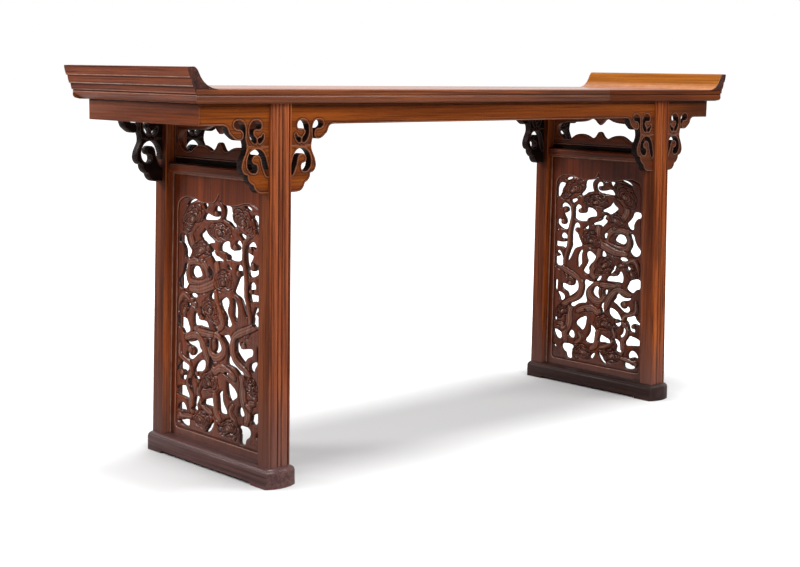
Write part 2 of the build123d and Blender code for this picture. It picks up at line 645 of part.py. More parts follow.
def foot_tenon_block(side, end, gap=0.0, mode=Mode.ADD):
    """Tenon under a leg; also cuts its mortise in the foot."""
    middle = end * (leg_front(foot_height) - leg_depth / 2)
    block((side * foot_station - foot_tenon_width / 2, side * foot_station + foot_tenon_width / 2),
          (middle - foot_tenon_depth / 2, middle + foot_tenon_depth / 2),
          (foot_height - leg_housing - foot_tenon - (gap > 0) * end_gap, foot_height - leg_housing),
          gap, mode)


for side_name, side in SIDES.items():
    for end_name, end in ENDS.items():
        with BuildPart() as leg:
            leg_body(side, end, foot_height - leg_housing, underside)
            # slot that clasps the apron and the spandrels' tongues
            block((side * (leg_station - leg_width), side * (leg_station + leg_width)),
                  (end * (apron_back - joint_gap), end * (apron_face + joint_gap)),
                  (spandrel_bottom - end_gap, underside + overcut), 0, Mode.SUBTRACT)
            for across, along in leg_tenon_spans(side, end):
                block(across, along, (underside, underside + leg_tenon))
            foot_tenon_block(side, end)
            panel_insert(side, end_gap, Mode.SUBTRACT)
            board_insert(side, end_gap, Mode.SUBTRACT)
            rail_insert(side, end_gap, Mode.SUBTRACT)
        finish(leg, f"leg_{side_name}_{end_name}")

# --- end frames: rails, window boards and pierced panels -------------------------
widening = leg_inner(panel_top) / drawing_half_width
heightening = (panel_top - foot_height) / drawing_height


def drawn(points):
    """Outline of a piercing, fitted to the end frame's opening, as points of its plane."""
    return [(across * widening, (level - drawing_foot) * heightening) for across, level in points]


def drawn_window(points):
    """Outline of the window, fitted between the legs, as points of the end frame's plane."""
    rail_top = end_rail_top - foot_height
    return [(across * widening, rail_top + height) for across, height in points]


for side_name, side in SIDES.items():
    with BuildPart() as end_rail:
        leaning_board(side, end_rail_top - end_rail_height, end_rail_top, end_rail_thickness)
        leaning_board(side, panel_top, end_rail_top - end_rail_height, end_rail_bead_thickness)
        rail_insert(side)
        panel_insert(side, end_gap, Mode.SUBTRACT)
        board_insert(side, end_gap, Mode.SUBTRACT)
    finish(end_rail, f"end_rail_{side_name}")

    with BuildPart() as board:
        leaning_board(side, end_rail_top + board_reveal, underside, board_thickness)
        board_insert(side)
        block((side * leg_station - insert_thickness / 2, side * leg_station + insert_thickness / 2),
              (-board_key_half, board_key_half), (underside, underside + insert_depth - end_gap))
        window = WINDOW_EDGE + [(-across, height) for across, height in WINDOW_EDGE[-2:0:-1]]
        with BuildSketch(end_plane(side)) as opening:
            Polygon(*drawn_window(window), align=None)
        extrude(opening.sketch, amount=board_thickness, both=True, mode=Mode.SUBTRACT)
    finish(board, f"window_board_{side_name}")

with BuildPart() as pierced:
    leaning_board(SIDES["right"], foot_height, panel_top, panel_thickness)
    panel_insert(SIDES["right"])
    with BuildSketch(end_plane(SIDES["right"])) as piercings:
        for outline in PIERCINGS:
            with BuildLine():
                Spline(*rounded(drawn(outline)), periodic=True)
            make_face()
    extrude(piercings.sketch, amount=panel_thickness, both=True, mode=Mode.SUBTRACT)
finish(pierced, "end_panel_right")

# the other panel is the same design seen from its own outside
with BuildPart() as turned:
    add(pierced.part.rotate(Axis.Z, 180))
finish(turned, "end_panel_left")

# --- shoe feet -------------------------------------------------------------------
foot_corner = leg_front(foot_height) + foot_toe
foot_half = foot_width / 2
arch_half = foot_corner - arch_end
knee = arch_half - arch_ogee * arch_knee[0]
knee_level = arch_height * arch_knee[1]

for side_name, side in SIDES.items():
    middle = side * foot_station
    with BuildPart() as foot:
        with BuildSketch(Plane.XY):
            with BuildLine():
                Line((middle - foot_half, -foot_corner), (middle - foot_half, foot_corner))
                ThreePointArc((middle - foot_half, foot_corner), (middle, foot_corner + foot_bow),
                              (middle + foot_half, foot_corner))
                Line((middle + foot_half, foot_corner), (middle + foot_half, -foot_corner))
                ThreePointArc((middle + foot_half, -foot_corner), (middle, -foot_corner - foot_bow),
                              (middle - foot_half, -foot_corner))
            make_face()
        extrude(amount=foot_height)
        fillet(foot.faces().sort_by(Axis.Z)[-1].edges(), foot_round)
        with BuildSketch(Plane.YZ.offset(middle - foot_half)) as arch:
            with BuildLine():
                Line((-arch_half, 0), (arch_half, 0))
                ThreePointArc((arch_half, 0), (knee, knee_level), (arch_half - arch_ogee, arch_height))
                Line((arch_half - arch_ogee, arch_height), (-arch_half + arch_ogee, arch_height))
                ThreePointArc((-arch_half + arch_ogee, arch_height), (-knee, knee_level),
                              (-arch_half, 0))
            make_face()
        extrude(arch.sketch, amount=foot_width, mode=Mode.SUBTRACT)
        for end in ENDS.values():
            leg_body(side, end, foot_height - leg_housing, foot_height + overcut, Mode.SUBTRACT)
            foot_tenon_block(side, end, joint_gap, Mode.SUBTRACT)
        panel_insert(side, end_gap, Mode.SUBTRACT)
    finish(foot, f"foot_{side_name}")
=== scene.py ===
"""Looks of an altar table: moulded frame, carved end panels and spandrels, oiled rosewood.

Metres, +Z up, +X along the table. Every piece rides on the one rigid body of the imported
model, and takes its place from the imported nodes' boxes.
"""

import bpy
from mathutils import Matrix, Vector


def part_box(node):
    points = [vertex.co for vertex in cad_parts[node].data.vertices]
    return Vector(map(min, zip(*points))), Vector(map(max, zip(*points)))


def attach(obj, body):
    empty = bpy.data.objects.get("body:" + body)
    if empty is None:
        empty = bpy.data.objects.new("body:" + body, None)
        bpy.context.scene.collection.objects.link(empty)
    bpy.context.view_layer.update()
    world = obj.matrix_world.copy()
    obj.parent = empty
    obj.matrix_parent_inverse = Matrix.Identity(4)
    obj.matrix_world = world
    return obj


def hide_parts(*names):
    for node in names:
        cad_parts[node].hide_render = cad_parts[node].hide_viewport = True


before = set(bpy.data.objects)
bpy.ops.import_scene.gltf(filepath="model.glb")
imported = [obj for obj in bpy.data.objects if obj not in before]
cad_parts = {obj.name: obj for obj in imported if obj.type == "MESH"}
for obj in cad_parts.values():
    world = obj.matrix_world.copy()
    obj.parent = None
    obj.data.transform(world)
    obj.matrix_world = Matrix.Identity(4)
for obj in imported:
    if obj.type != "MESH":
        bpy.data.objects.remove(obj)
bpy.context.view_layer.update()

from math import atan, cos, pi, radians, sin

import bpy
import numpy as np
from mathutils import Euler, Matrix, Vector
from mathutils.geometry import delaunay_2d_cdt
from mathutils.kdtree import KDTree

MM = 0.001
EASE_ROUNDS = 3  # times that a drawn line's corners are cut, to ease it
DOUBLES = 0.01 * MM  # vertices nearer than this are one


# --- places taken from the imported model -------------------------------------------
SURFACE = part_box("top_panel")[1][2]
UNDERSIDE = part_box("top_rail_front")[0][2]
HALF_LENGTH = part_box("top_rail_front")[1][0]
HALF_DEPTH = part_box("top_rail_rear")[1][1]
RAIL_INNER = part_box("top_rail_rear")[0][1]
MEMBER_INNER = HALF_LENGTH - (HALF_DEPTH - RAIL_INNER)
FLANGE_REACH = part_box("top_end_right")[1][0]
FLANGE_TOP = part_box("top_end_right")[1][2]
APRON_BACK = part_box("apron_rear")[0][1]
APRON_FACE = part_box("apron_rear")[1][1]
APRON_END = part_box("apron_right")[1][0]
APRON_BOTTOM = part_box("apron_right")[0][2]
FOOT_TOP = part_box("foot_right")[1][2]
FOOT_MIDDLE = (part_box("foot_right")[0][0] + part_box("foot_right")[1][0]) / 2
FOOT_HALF = (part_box("foot_right")[1][0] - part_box("foot_right")[0][0]) / 2
FOOT_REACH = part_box("foot_right")[1][1]
RAIL_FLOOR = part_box("end_rail_right")[0][2]
RAIL_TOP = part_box("end_rail_right")[1][2]


# --- sizes that the boxes don't give ----------------------------------------------
LEG_WIDTH = 57 * MM
LEG_DEPTH = 42 * MM
LEG_STATION = 659.8 * MM  # table centre to leg centre, under the top
SPLAY_ALONG = FOOT_MIDDLE - LEG_STATION
SPLAY_ACROSS = 12.3 * MM
LEG_HEIGHT = UNDERSIDE - FOOT_TOP
LEG_PROUD = 9.9 * MM  # leg face in front of the apron, under the top
APRON_THICKNESS = APRON_FACE - APRON_BACK
BOARD_FACE = APRON_FACE + 5 * MM
BOARD_DEPTH = BOARD_FACE - APRON_BACK
BOARD_MIDDLE = BOARD_FACE - BOARD_DEPTH / 2
END_RAIL_HALF = 25 * MM
END_RAIL_BEAD = 4 * MM
BOARD_HALF = 6 * MM
BOARD_REVEAL = 12 * MM
INSERT_HALF = 2.5 * MM
PANEL_HALF = 7.5 * MM
LEAN = atan(SPLAY_ALONG / LEG_HEIGHT)
PANEL_TOP = RAIL_FLOOR

SIDES = {"left": -1, "right": 1}
ENDS = {"front": -1, "rear": 1}


def leg_front(level):
    """Distance from the centre line to a leg's outer face, along Y."""
    return APRON_FACE + LEG_PROUD + SPLAY_ACROSS * (UNDERSIDE - level) / LEG_HEIGHT


def leg_inner(level):
    """Distance from the centre line to a leg's inner face, along Y."""
    return leg_front(level) - LEG_DEPTH


def frame_station(level):
    """Distance from the centre to an end frame's middle plane, along X."""
    return LEG_STATION + SPLAY_ALONG * (UNDERSIDE - level) / LEG_HEIGHT


# --- outlines, in millimetres -----------------------------------------------------
# Spandrel as runs between its cusps, each point being (distance from the leg's edge,
# distance below the apron's lower edge). The first run takes in the curl at its shoulder.
EAR_RUNS = [
    [(129, 0), (121, 0.6), (114, 4), (111, 11), (108, 18), (101, 23), (95, 28), (85, 32),
     (73, 31), (69, 22), (71, 13), (78, 8), (86, 9), (92, 6), (97, 1), (94, -8), (83, -11),
     (71, -8), (65, 3), (64, 16), (66, 27), (64, 34), (62, 40), (61.5, 46.6)],
]
SPANDREL_RUNS = [
    [(61.5, 46.6), (62, 53), (66, 61), (71, 70), (74, 78), (76, 88), (73, 97), (67, 103),
     (59, 104.6)],
    [(59, 104.6), (58.5, 112), (54, 119), (49, 123), (43, 125.6)],
    [(43, 125.6), (41, 132), (36, 139), (29, 143), (18, 144.6), (0, 144.6)],
]
UPPER_EYE = [(21, -3), (27, -9), (37, -11), (47, -7), (53, 2), (55, 14), (52, 27), (46, 35),
             (39, 39), (34, 37), (34.5, 31), (37, 26), (42, 22), (44.5, 16), (42, 10.5),
             (35, 8), (28, 9), (21, 7)]
UPPER_GAP = [(15, 18), (14, 25), (17, 32), (23, 37.5), (29, 38.5), (31.5, 34), (31, 29),
             (26, 27), (20, 25), (17, 19)]
LOWER_EYE = [(33, 50), (44, 52), (53, 58), (59, 68), (61, 79), (59, 90), (53, 97.5),
             (45, 101), (37, 100.5), (33, 96), (32, 89), (34, 84), (38, 82.5), (44, 81),
             (48, 75.5), (46, 67), (39, 62), (31, 62), (24, 66), (20.5, 74), (19, 84),
             (15, 93), (11, 102), (7, 108), (2, 108.5), (0.5, 103), (1.5, 93), (5, 80),
             (9, 68), (15, 58), (23, 52)]

# Window in the board above the end rail: right half, (distance from the centre, height
# above the end rail) as runs between its cusps.
WINDOW_RUNS = [
    [(0, 54), (6, 52), (11, 44), (17, 37), (25, 34.5)],
    [(25, 34.5), (32, 35), (44, 41), (58, 45), (72, 46), (86, 43), (98, 36)],
    [(98, 36), (106, 30), (120, 28), (136, 30), (150, 42), (158, 55), (152, 70), (138, 75),
     (118, 77), (96, 78), (72, 79), (56, 81)],
    [(56, 81), (44, 84), (34, 89), (25, 90), (16, 86), (10, 79), (0, 72)],
]

# Opening of the carved panel's border: right half, (across, level), from the bottom
# centre to the cusp at the top centre. The sides lean in with the legs.
BORDER_RUNS = [
    [(0, 62), (60, 62), (139, 62), (163, 62), (163, 86), (162.6, 110), (159, 330),
     (156.4, 560), (156, 582), (150, 598), (132, 607), (108, 610), (86, 606), (66, 600),
     (38, 599)],
    [(38, 599), (22, 600), (12, 605), (4, 614), (0, 622)],
]

# Piercings of the carved panel, (across the panel seen from outside, level).
PIERCINGS = [
    # top row: between the border and the first mushroom heads and curl
    [(-125, 586), (-117, 598), (-105, 604), (-90, 607), (-79, 605), (-98, 599), (-112, 593)],
    [(-62, 599), (-38, 599), (-45, 588), (-50, 583), (-54, 589)],
    [(-64, 560), (-54, 575), (-40, 577), (-25, 572), (-10, 571), (-1, 573), (2, 580),
     (-4, 584), (-12, 583), (-18, 588), (-12, 596), (-3, 597), (6, 592), (10, 582), (6, 571),
     (-3, 565), (-18, 563), (-40, 561)],
    [(-2, 609), (7, 610), (20, 603), (48, 598), (50, 588), (51, 575), (56, 565), (67, 555),
     (60, 550), (47, 556), (37, 564), (15, 567), (20, 575), (22, 585), (21, 594), (14, 601)],
    [(94, 604), (112, 604), (125, 595), (113, 593), (98, 599)],
    [(122, 584), (132, 587), (147, 585), (153, 575), (156, 560), (155, 544), (148, 541),
     (139, 550), (133, 566), (126, 578)],
    # second row: around the middle head and the hooks of the right-hand stem
    [(74, 540), (84, 544), (107, 536), (97, 526), (86, 531)],
    [(100, 512), (110, 523), (122, 528), (133, 526), (140, 517), (137, 509), (130, 514),
     (121, 517), (113, 513), (112, 505), (118, 498), (131, 497), (124, 487), (117, 478),
     (117, 468), (124, 463), (135, 464), (139, 470), (137, 477), (146, 480), (153, 474),
     (152, 463), (143, 455), (129, 449), (114, 448), (108, 460), (101, 478), (98, 495)],
    [(145, 448), (152, 450), (156, 444), (151, 438)],
    [(3, 500), (6, 510), (14, 516), (27, 520), (43, 520), (42, 511), (46, 503), (60, 501),
     (71, 504), (73, 510), (68, 514), (62, 515), (62, 521), (69, 526), (80, 526), (87, 517),
     (90, 500), (87, 481), (62, 477), (40, 479), (34, 489), (23, 494), (8, 495)],
    [(-76, 524), (-60, 533), (-52, 545), (-46, 536), (-40, 528), (-25, 521), (-13, 515),
     (-16, 510), (-30, 511), (-41, 504), (-55, 509), (-64, 516)],
    [(-155, 503), (-155, 520), (-126, 520), (-122, 505), (-112, 493), (-102, 486),
     (-108, 475), (-116, 468), (-131, 468), (-129, 483), (-136, 495), (-144, 502)],
    [(-33, 502), (-21, 503), (-14, 491), (-4, 483), (10, 479), (21, 474), (16, 470), (2, 473),
     (-8, 471), (-15, 463), (-24, 474), (-37, 485), (-34, 489), (-26, 492)],
    [(33, 467), (37, 471), (44, 463), (53, 457), (34, 456)],
    # third row: around the coiled body on the left and the dome head in the middle
    [(-129, 456), (-112, 458), (-117, 447), (-123, 436), (-125, 422), (-115, 410),
     (-121, 398), (-136, 392), (-152, 398), (-157, 412), (-149, 419), (-142, 426),
     (-136, 437), (-133, 448)],
    [(-106, 437), (-101, 448), (-90, 453), (-73, 452), (-66, 442), (-60, 433), (-74, 427),
     (-92, 423), (-102, 428)],
    [(-39, 454), (-31, 453), (-19, 447), (-25, 434), (-31, 428), (-36, 438)],
    [(64, 457), (68, 469), (77, 474), (87, 470), (95, 456), (98, 440), (97, 420), (94, 405),
     (101, 390), (109, 375), (113, 361), (106, 357), (98, 370), (90, 385), (82, 399),
     (54, 406), (60, 417), (68, 430), (72, 441), (81, 445), (84, 452), (79, 458), (73, 458)],
    [(111, 425), (116, 436), (126, 440), (136, 436), (140, 427), (134, 421), (121, 422),
     (117, 417), (122, 412), (140, 411), (158, 414), (158, 397), (145, 396), (131, 397),
     (120, 391), (114, 400), (111, 412)],
    [(-36, 384), (-30, 396), (-20, 402), (-15, 392), (-14, 381)],
    [(-114, 380), (-104, 388), (-90, 388), (-77, 384), (-90, 374)],
    [(4, 381), (10, 386), (24, 394), (36, 393), (43, 385), (40, 374), (35, 366), (40, 353),
     (51, 339), (53, 332), (36, 324), (25, 331), (31, 344), (24, 356), (12, 366)],
    [(52, 394), (61, 396), (71, 383), (75, 368), (73, 352), (73, 342), (66, 341), (61, 351),
     (55, 354), (57, 370), (57, 383)],
    [(125, 342), (128, 365), (133, 378), (141, 386), (150, 386), (154, 379), (147, 374),
     (142, 370), (148, 367), (158, 366), (158, 340), (142, 338)],
    [(-123, 363), (-105, 364), (-110, 353), (-119, 351)],
    [(-72, 361), (-62, 361), (-57, 350), (-48, 341), (-50, 335), (-62, 341), (-67, 351)],
    # fourth row: around the great curled stem on the right
    [(-97, 335), (-91, 346), (-82, 348), (-78, 336), (-66, 330), (-48, 330), (-40, 327),
     (-32, 313), (-50, 314), (-75, 315), (-93, 312), (-97, 322)],
    [(-159, 335), (-118, 325), (-113, 312), (-105, 300), (-123, 290), (-134, 289),
     (-143, 301), (-159, 303)],
    [(-19, 328), (-9, 326), (6, 313), (-1, 309), (-15, 315)],
    [(8, 307), (20, 305), (34, 310), (47, 309), (47, 295), (46, 284), (50, 270), (56, 257),
     (67, 247), (86, 238), (101, 231), (97, 223), (84, 223), (70, 234), (58, 239), (37, 241),
     (34, 250), (39, 263), (39, 276), (35, 286), (22, 294)],
    [(-10, 295), (1, 296), (13, 288), (15, 277), (7, 265), (-8, 258), (-13, 261), (-6, 275)],
    [(-42, 288), (-34, 291), (-27, 285), (-29, 271), (-37, 270), (-41, 278)],
    [(65, 290), (69, 304), (81, 310), (81, 292), (91, 285), (105, 287), (127, 291),
     (133, 285), (129, 273), (113, 268), (106, 262), (105, 252), (95, 256), (78, 267),
     (68, 278)],
    [(145, 298), (157, 299), (158, 285), (157, 265), (148, 264), (147, 280)],
    [(117, 250), (124, 259), (147, 265), (148, 258), (140, 250), (135, 234), (121, 241)],
    [(-129, 276), (-112, 272), (-96, 275), (-86, 280), (-79, 287), (-73, 276), (-67, 263),
     (-58, 257), (-72, 251), (-88, 239), (-102, 230), (-117, 232), (-124, 240), (-120, 250),
     (-111, 250), (-109, 243), (-99, 241), (-90, 246), (-87, 255), (-93, 262), (-108, 265),
     (-120, 267)],
    # fifth row: around the low mushroom head and the knotted body
    [(-30, 251), (-20, 251), (-16, 238), (-20, 219), (-34, 219), (-29, 238)],
    [(-92, 212), (-83, 226), (-66, 237), (-49, 239), (-45, 228), (-49, 217), (-63, 208),
     (-82, 207), (-86, 201), (-80, 197), (-70, 197), (-70, 189), (-79, 186), (-88, 189),
     (-94, 200)],
    [(-162, 196), (-161, 206), (-147, 215), (-139, 231), (-132, 223), (-110, 218),
     (-107, 213), (-119, 200), (-121, 190), (-125, 179), (-144, 177), (-143, 188),
     (-132, 189), (-130, 197), (-137, 203), (-150, 202)],
    [(-111, 187), (-99, 188), (-99, 175), (-95, 166), (-86, 161), (-93, 155), (-106, 162),
     (-112, 176)],
    [(-80, 176), (-67, 177), (-72, 167)],
    [(33, 205), (50, 198), (67, 190), (79, 175), (62, 165), (52, 157), (40, 167), (35, 185)],
    [(148, 187), (158, 185), (158, 175), (148, 174)],
    [(24, 216), (30, 223), (40, 226), (45, 221), (36, 217)],
    # bottom row
    [(-164, 141), (-164, 157), (-148, 163), (-123, 168), (-116, 158), (-106, 143),
     (-111, 135), (-130, 139)],
    [(-1, 168), (13, 178), (22, 181), (20, 166), (24, 150), (41, 132), (34, 125), (14, 124),
     (6, 127), (4, 150)],
    [(-159, 104), (-153, 118), (-140, 126), (-128, 124), (-119, 113), (-120, 103),
     (-127, 99), (-132, 105), (-146, 106)],
    [(-73, 153), (-63, 149), (-71, 140), (-79, 131), (-75, 120), (-77, 113), (-99, 113),
     (-99, 119), (-91, 123), (-90, 136), (-88, 146), (-80, 150)],
    [(-61, 131), (-52, 146), (-35, 151), (-20, 157), (-12, 146), (-10, 131), (-35, 135)],
    [(-48, 69), (-37, 79), (-30, 91), (-21, 96), (-16, 107), (-10, 104), (-15, 88), (-27, 74)],
    [(-1, 99), (9, 97), (23, 83), (12, 77), (3, 88)],
    [(77, 145), (87, 156), (100, 151), (105, 140), (96, 130), (80, 130)],
    [(125, 135), (134, 146), (160, 151), (158, 138), (147, 121), (131, 121)],
    [(80, 112), (121, 112), (129, 102), (123, 89), (111, 84), (109, 71), (100, 67), (85, 69),
     (88, 85), (85, 98)],
    [(145, 92), (148, 101), (160, 107), (158, 95)],
    [(-147, 83), (-145, 74), (-125, 69), (-107, 71), (-107, 89), (-122, 88), (-136, 82)],
]

# Motifs carved on the panel. Mushroom heads: (across, level, half width, half height,
# tilt in degrees, number of tiers of petals).
MUSHROOM_HEADS = [
    (-98, 562, 44, 31, 30, 4),
    (95, 568, 44, 27, -22, 4),
    (8, 538, 44, 22, -4, 4),
    (22, 428, 34, 27, 8, 4),
    (-25, 358, 33, 24, -30, 4),
    (-28, 190, 32, 26, 0, 4),
    (48, 96, 35, 22, 10, 3),
    (-58, 98, 32, 22, -8, 3),
    (-62, 492, 36, 22, 12, 3),
    (-128, 346, 26, 20, 60, 3),
    (128, 205, 24, 20, -30, 3),
]
# Tiers of petals on a mushroom head: (share of the way out, size, petals).
PETAL_TIERS = [(0.66, 0.42, 5), (0.38, 0.40, 4), (0.14, 0.34, 2), (0.0, 0.22, 1)]
# Round curls at the ends of stems: (across, level, radius).
CURLS = [
    (-8, 579, 7), (64, 508, 9), (119, 508, 8), (128, 472, 9), (122, 417, 8), (76, 452, 7),
    (148, 372, 8), (-105, 255, 9), (-80, 203, 8), (-137, 195, 8), (-138, 108, 9),
    (98, 290, 10), (-98, 376, 8), (-38, 498, 7), (36, 488, 7), (-72, 186, 6),
]
# Stems and bodies: (width, flutes, points across and up).
STEMS = [
    (15, 2, [(120, 540), (96, 528), (94, 500), (97, 470), (105, 440), (104, 410), (112, 385),
             (120, 362), (122, 338), (110, 316)]),
    (20, 3, [(150, 345), (112, 330), (66, 312), (55, 290), (60, 262), (80, 246), (112, 234),
             (128, 218)]),
    (20, 3, [(-112, 462), (-118, 440), (-112, 412), (-86, 408), (-50, 414), (-28, 428),
             (-48, 460), (-80, 466), (-112, 458)]),
    (22, 3, [(-104, 398), (-70, 398), (-40, 408), (-8, 420), (0, 452), (-12, 486)]),
    (20, 3, [(-62, 470), (-98, 500), (-110, 530), (-84, 548)]),
    (16, 2, [(-150, 345), (-146, 376), (-128, 384), (-112, 372), (-84, 362)]),
    (18, 3, [(-8, 400), (-4, 372), (10, 352), (22, 330), (4, 318)]),
    (20, 3, [(-30, 300), (-34, 262), (-8, 248), (24, 262), (26, 284), (2, 302), (-30, 300)]),
    (18, 3, [(-50, 350), (-92, 300), (-60, 300), (-20, 302)]),
    (20, 3, [(-120, 282), (-80, 296), (-52, 272), (-40, 244), (-12, 214), (10, 232),
             (48, 224), (66, 214)]),
    (26, 3, [(92, 224), (100, 206), (96, 182), (104, 160), (118, 142), (112, 122)]),
    (16, 2, [(-146, 262), (-148, 236), (-128, 226), (-104, 220), (-98, 200)]),
    (18, 3, [(-102, 198), (-118, 172), (-96, 148), (-104, 128), (-92, 104)]),
    (16, 2, [(-60, 182), (-76, 160), (-62, 138), (-42, 124), (-20, 118)]),
    (18, 3, [(-12, 178), (-6, 150), (-4, 120), (14, 110)]),
    (16, 2, [(60, 150), (50, 138), (58, 124), (72, 118), (74, 92), (66, 76)]),
    (14, 2, [(140, 168), (118, 166), (130, 152), (112, 160)]),
    (14, 2, [(-150, 84), (-152, 92), (-118, 94), (-92, 98)]),
]


# --- workshop helpers -------------------------------------------------------------
def deselect():
    bpy.ops.object.select_all(action="DESELECT")


def pick(piece):
    """Make one piece the only selected one, and active."""
    deselect()
    piece.select_set(True)
    bpy.context.view_layer.objects.active = piece


def edit(piece):
    """Pick a piece and clear the selection inside it."""
    pick(piece)
    bpy.ops.object.mode_set(mode="EDIT")
    bpy.ops.mesh.select_mode(type="VERT")
    bpy.ops.mesh.select_all(action="DESELECT")
    bpy.ops.object.mode_set(mode="OBJECT")


def bevel(piece, wanted, width, segments):
    """Bevel the edges that the test wants."""
    edit(piece)
    for edge in piece.data.edges:
        edge.select = bool(wanted(edge))
    bpy.ops.object.mode_set(mode="EDIT")
    bpy.ops.mesh.select_mode(type="EDGE")
    bpy.ops.mesh.bevel(offset=width, segments=segments, profile=0.5, clamp_overlap=True)
    bpy.ops.object.mode_set(mode="OBJECT")


def settle(piece, name):
    """Apply the piece's place, so that its object sits at the origin, and name it."""
    pick(piece)
    bpy.ops.object.transform_apply(location=True, rotation=True, scale=True)
    piece.name = name
    piece.data.name = name
    return piece


def soften(piece, angle=32):
    """Shade a piece smooth, but for edges sharper than an angle in degrees."""
    pick(piece)
    bpy.ops.object.shade_smooth_by_angle(angle=radians(angle))


def tidy_faces(piece):
    """Merge doubles and turn every face outwards."""
    pick(piece)
    bpy.ops.object.mode_set(mode="EDIT")
    bpy.ops.mesh.select_all(action="SELECT")
    bpy.ops.mesh.remove_doubles(threshold=DOUBLES)
    bpy.ops.mesh.normals_make_consistent(inside=False)
    bpy.ops.object.mode_set(mode="OBJECT")


def blank(section, sweep, name):
    """Board or moulding: a flat blank shaped to a section's points, drawn out by a vector."""
    deselect()
    bpy.ops.mesh.primitive_circle_add(vertices=len(section), radius=0.1, fill_type="NGON")
    piece = bpy.context.object
    for vertex, point in zip(piece.data.vertices, section):
        vertex.co = point
    bpy.ops.object.mode_set(mode="EDIT")
    bpy.ops.mesh.select_all(action="SELECT")
    bpy.ops.mesh.extrude_region_move(TRANSFORM_OT_translate={"value": sweep})
    bpy.ops.mesh.select_all(action="SELECT")
    bpy.ops.mesh.normals_make_consistent(inside=False)
    bpy.ops.object.mode_set(mode="OBJECT")
    return settle(piece, name)


def box_blank(low, high, name):
    """Rectangular blank between two corners."""
    deselect()
    middle = [(a + b) / 2 for a, b in zip(low, high)]
    size = [b - a for a, b in zip(low, high)]
    bpy.ops.mesh.primitive_cube_add(size=1, location=middle, scale=size)
    return settle(bpy.context.object, name)


def ease_edges(piece, width, segments, wanted):
    """Round over the edges whose middle and direction the test wants."""
    places = [vertex.co.copy() for vertex in piece.data.vertices]

    def chosen(edge):
        start, stop = (places[index] for index in edge.vertices)
        return wanted((start + stop) / 2, (stop - start).normalized())

    bevel(piece, chosen, width, segments)


def saw(piece, place, normal, parting=True):
    """Saw off what lies on the normal's side, or only cut a line round the piece."""
    edit(piece)
    bpy.ops.object.mode_set(mode="EDIT")
    bpy.ops.mesh.select_all(action="SELECT")
    bpy.ops.mesh.bisect(plane_co=place, plane_no=normal, use_fill=parting, clear_outer=parting)
    bpy.ops.object.mode_set(mode="OBJECT")


def cut_out(piece, cutter):
    """Cut one piece's shape out of another, and put the cutter away."""
    cut = piece.modifiers.new("cut", "BOOLEAN")
    cut.operation = "DIFFERENCE"
    cut.solver = "EXACT"
    cut.object = cutter
    pick(piece)
    bpy.ops.object.modifier_apply(modifier="cut")
    put_away(cutter)


def glue(pieces, name):
    """Join pieces into one object."""
    deselect()
    for piece in pieces:
        piece.select_set(True)
    bpy.context.view_layer.objects.active = pieces[0]
    bpy.ops.object.join()
    return settle(pieces[0], name)


def copy_of(piece, name):
    """Another piece like this one, with its own mesh."""
    twin = piece.copy()
    twin.data = piece.data.copy()
    twin.name = name
    twin.data.name = name
    bpy.context.collection.objects.link(twin)
    return twin


def put_away(piece):
    """Take a piece off the bench, such as a cutter or a pattern."""
    bpy.data.objects.remove(piece)


def fit(piece, material, node_name):
    """Give a piece its finish, and put it in the place of one of the model's nodes."""
    piece.data.materials.clear()
    piece.data.materials.append(material)
    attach(piece, "root")
    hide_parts(node_name)


def refinish(piece, material, wanted):
    """Give the faces that the test wants another finish."""
    piece.data.materials.append(material)
    for face in piece.data.polygons:
        if wanted(face):
            face.material_index = len(piece.data.materials) - 1


def mark(piece, label, amount, wanted=None):
    """Mark the corners of the faces that the test wants, or of all, for the finish to read."""
    mesh = piece.data
    attribute = mesh.attributes.get(label) or mesh.attributes.new(label, "FLOAT", "CORNER")
    values = np.zeros(len(mesh.loops), dtype=np.float32)
    attribute.data.foreach_get("value", values)
    for face in mesh.polygons:
        if wanted is None or wanted(face):
            values[face.loop_start:face.loop_start + face.loop_total] = amount
    attribute.data.foreach_set("value", values)


def arc(centre, radius, start, stop, count):
    """Points on an arc, angles in degrees."""
    steps = [radians(start + (stop - start) * index / count) for index in range(count + 1)]
    return [(centre[0] + radius * cos(a), centre[1] + radius * sin(a)) for a in steps]


def eased(points, closed=True):
    """Smooth line whose tangents are a drawn outline's straight sides."""
    line = [tuple(map(float, point)) for point in points]
    for _ in range(EASE_ROUNDS):
        finer = [] if closed else [line[0]]
        following = line[1:] + line[:1] if closed else line[1:]
        for here, after in zip(line, following):
            finer.append(tuple(0.75 * a + 0.25 * b for a, b in zip(here, after)))
            finer.append(tuple(0.25 * a + 0.75 * b for a, b in zip(here, after)))
        line = finer if closed else finer + [line[-1]]
    return line


def joined_runs(runs):
    """One line out of runs that meet in cusps."""
    line = []
    for run in runs:
        line += eased(run, closed=False)[(1 if line else 0):]
    return line


def flat_curve(name, outlines, half_thickness, edge_round, resolution):
    """Flat piece standing in its own plane, with holes and rounded edges, as a mesh."""
    curve = bpy.data.curves.new(name, "CURVE")
    curve.dimensions = "2D"
    curve.fill_mode = "BOTH"
    for outline in outlines:
        spline = curve.splines.new("POLY")
        spline.points.add(len(outline) - 1)
        for point, (across, up) in zip(spline.points, outline):
            point.co = (across, up, 0, 1)
        spline.use_cyclic_u = True
    curve.extrude = half_thickness - edge_round
    curve.bevel_depth = edge_round
    curve.bevel_resolution = resolution
    curve.offset = -edge_round
    piece = bpy.data.objects.new(name, curve)
    bpy.context.collection.objects.link(piece)
    pick(piece)
    bpy.ops.object.convert(target="MESH")
    return bpy.context.object


def stand(piece, across, up, outward, origin):
    """Move a flat piece's mesh into its plane in the table."""
    place = Matrix((across, up, outward)).transposed().to_4x4()
    place.translation = origin
    piece.data.transform(place)
    if place.determinant() < 0:
        piece.data.flip_normals()


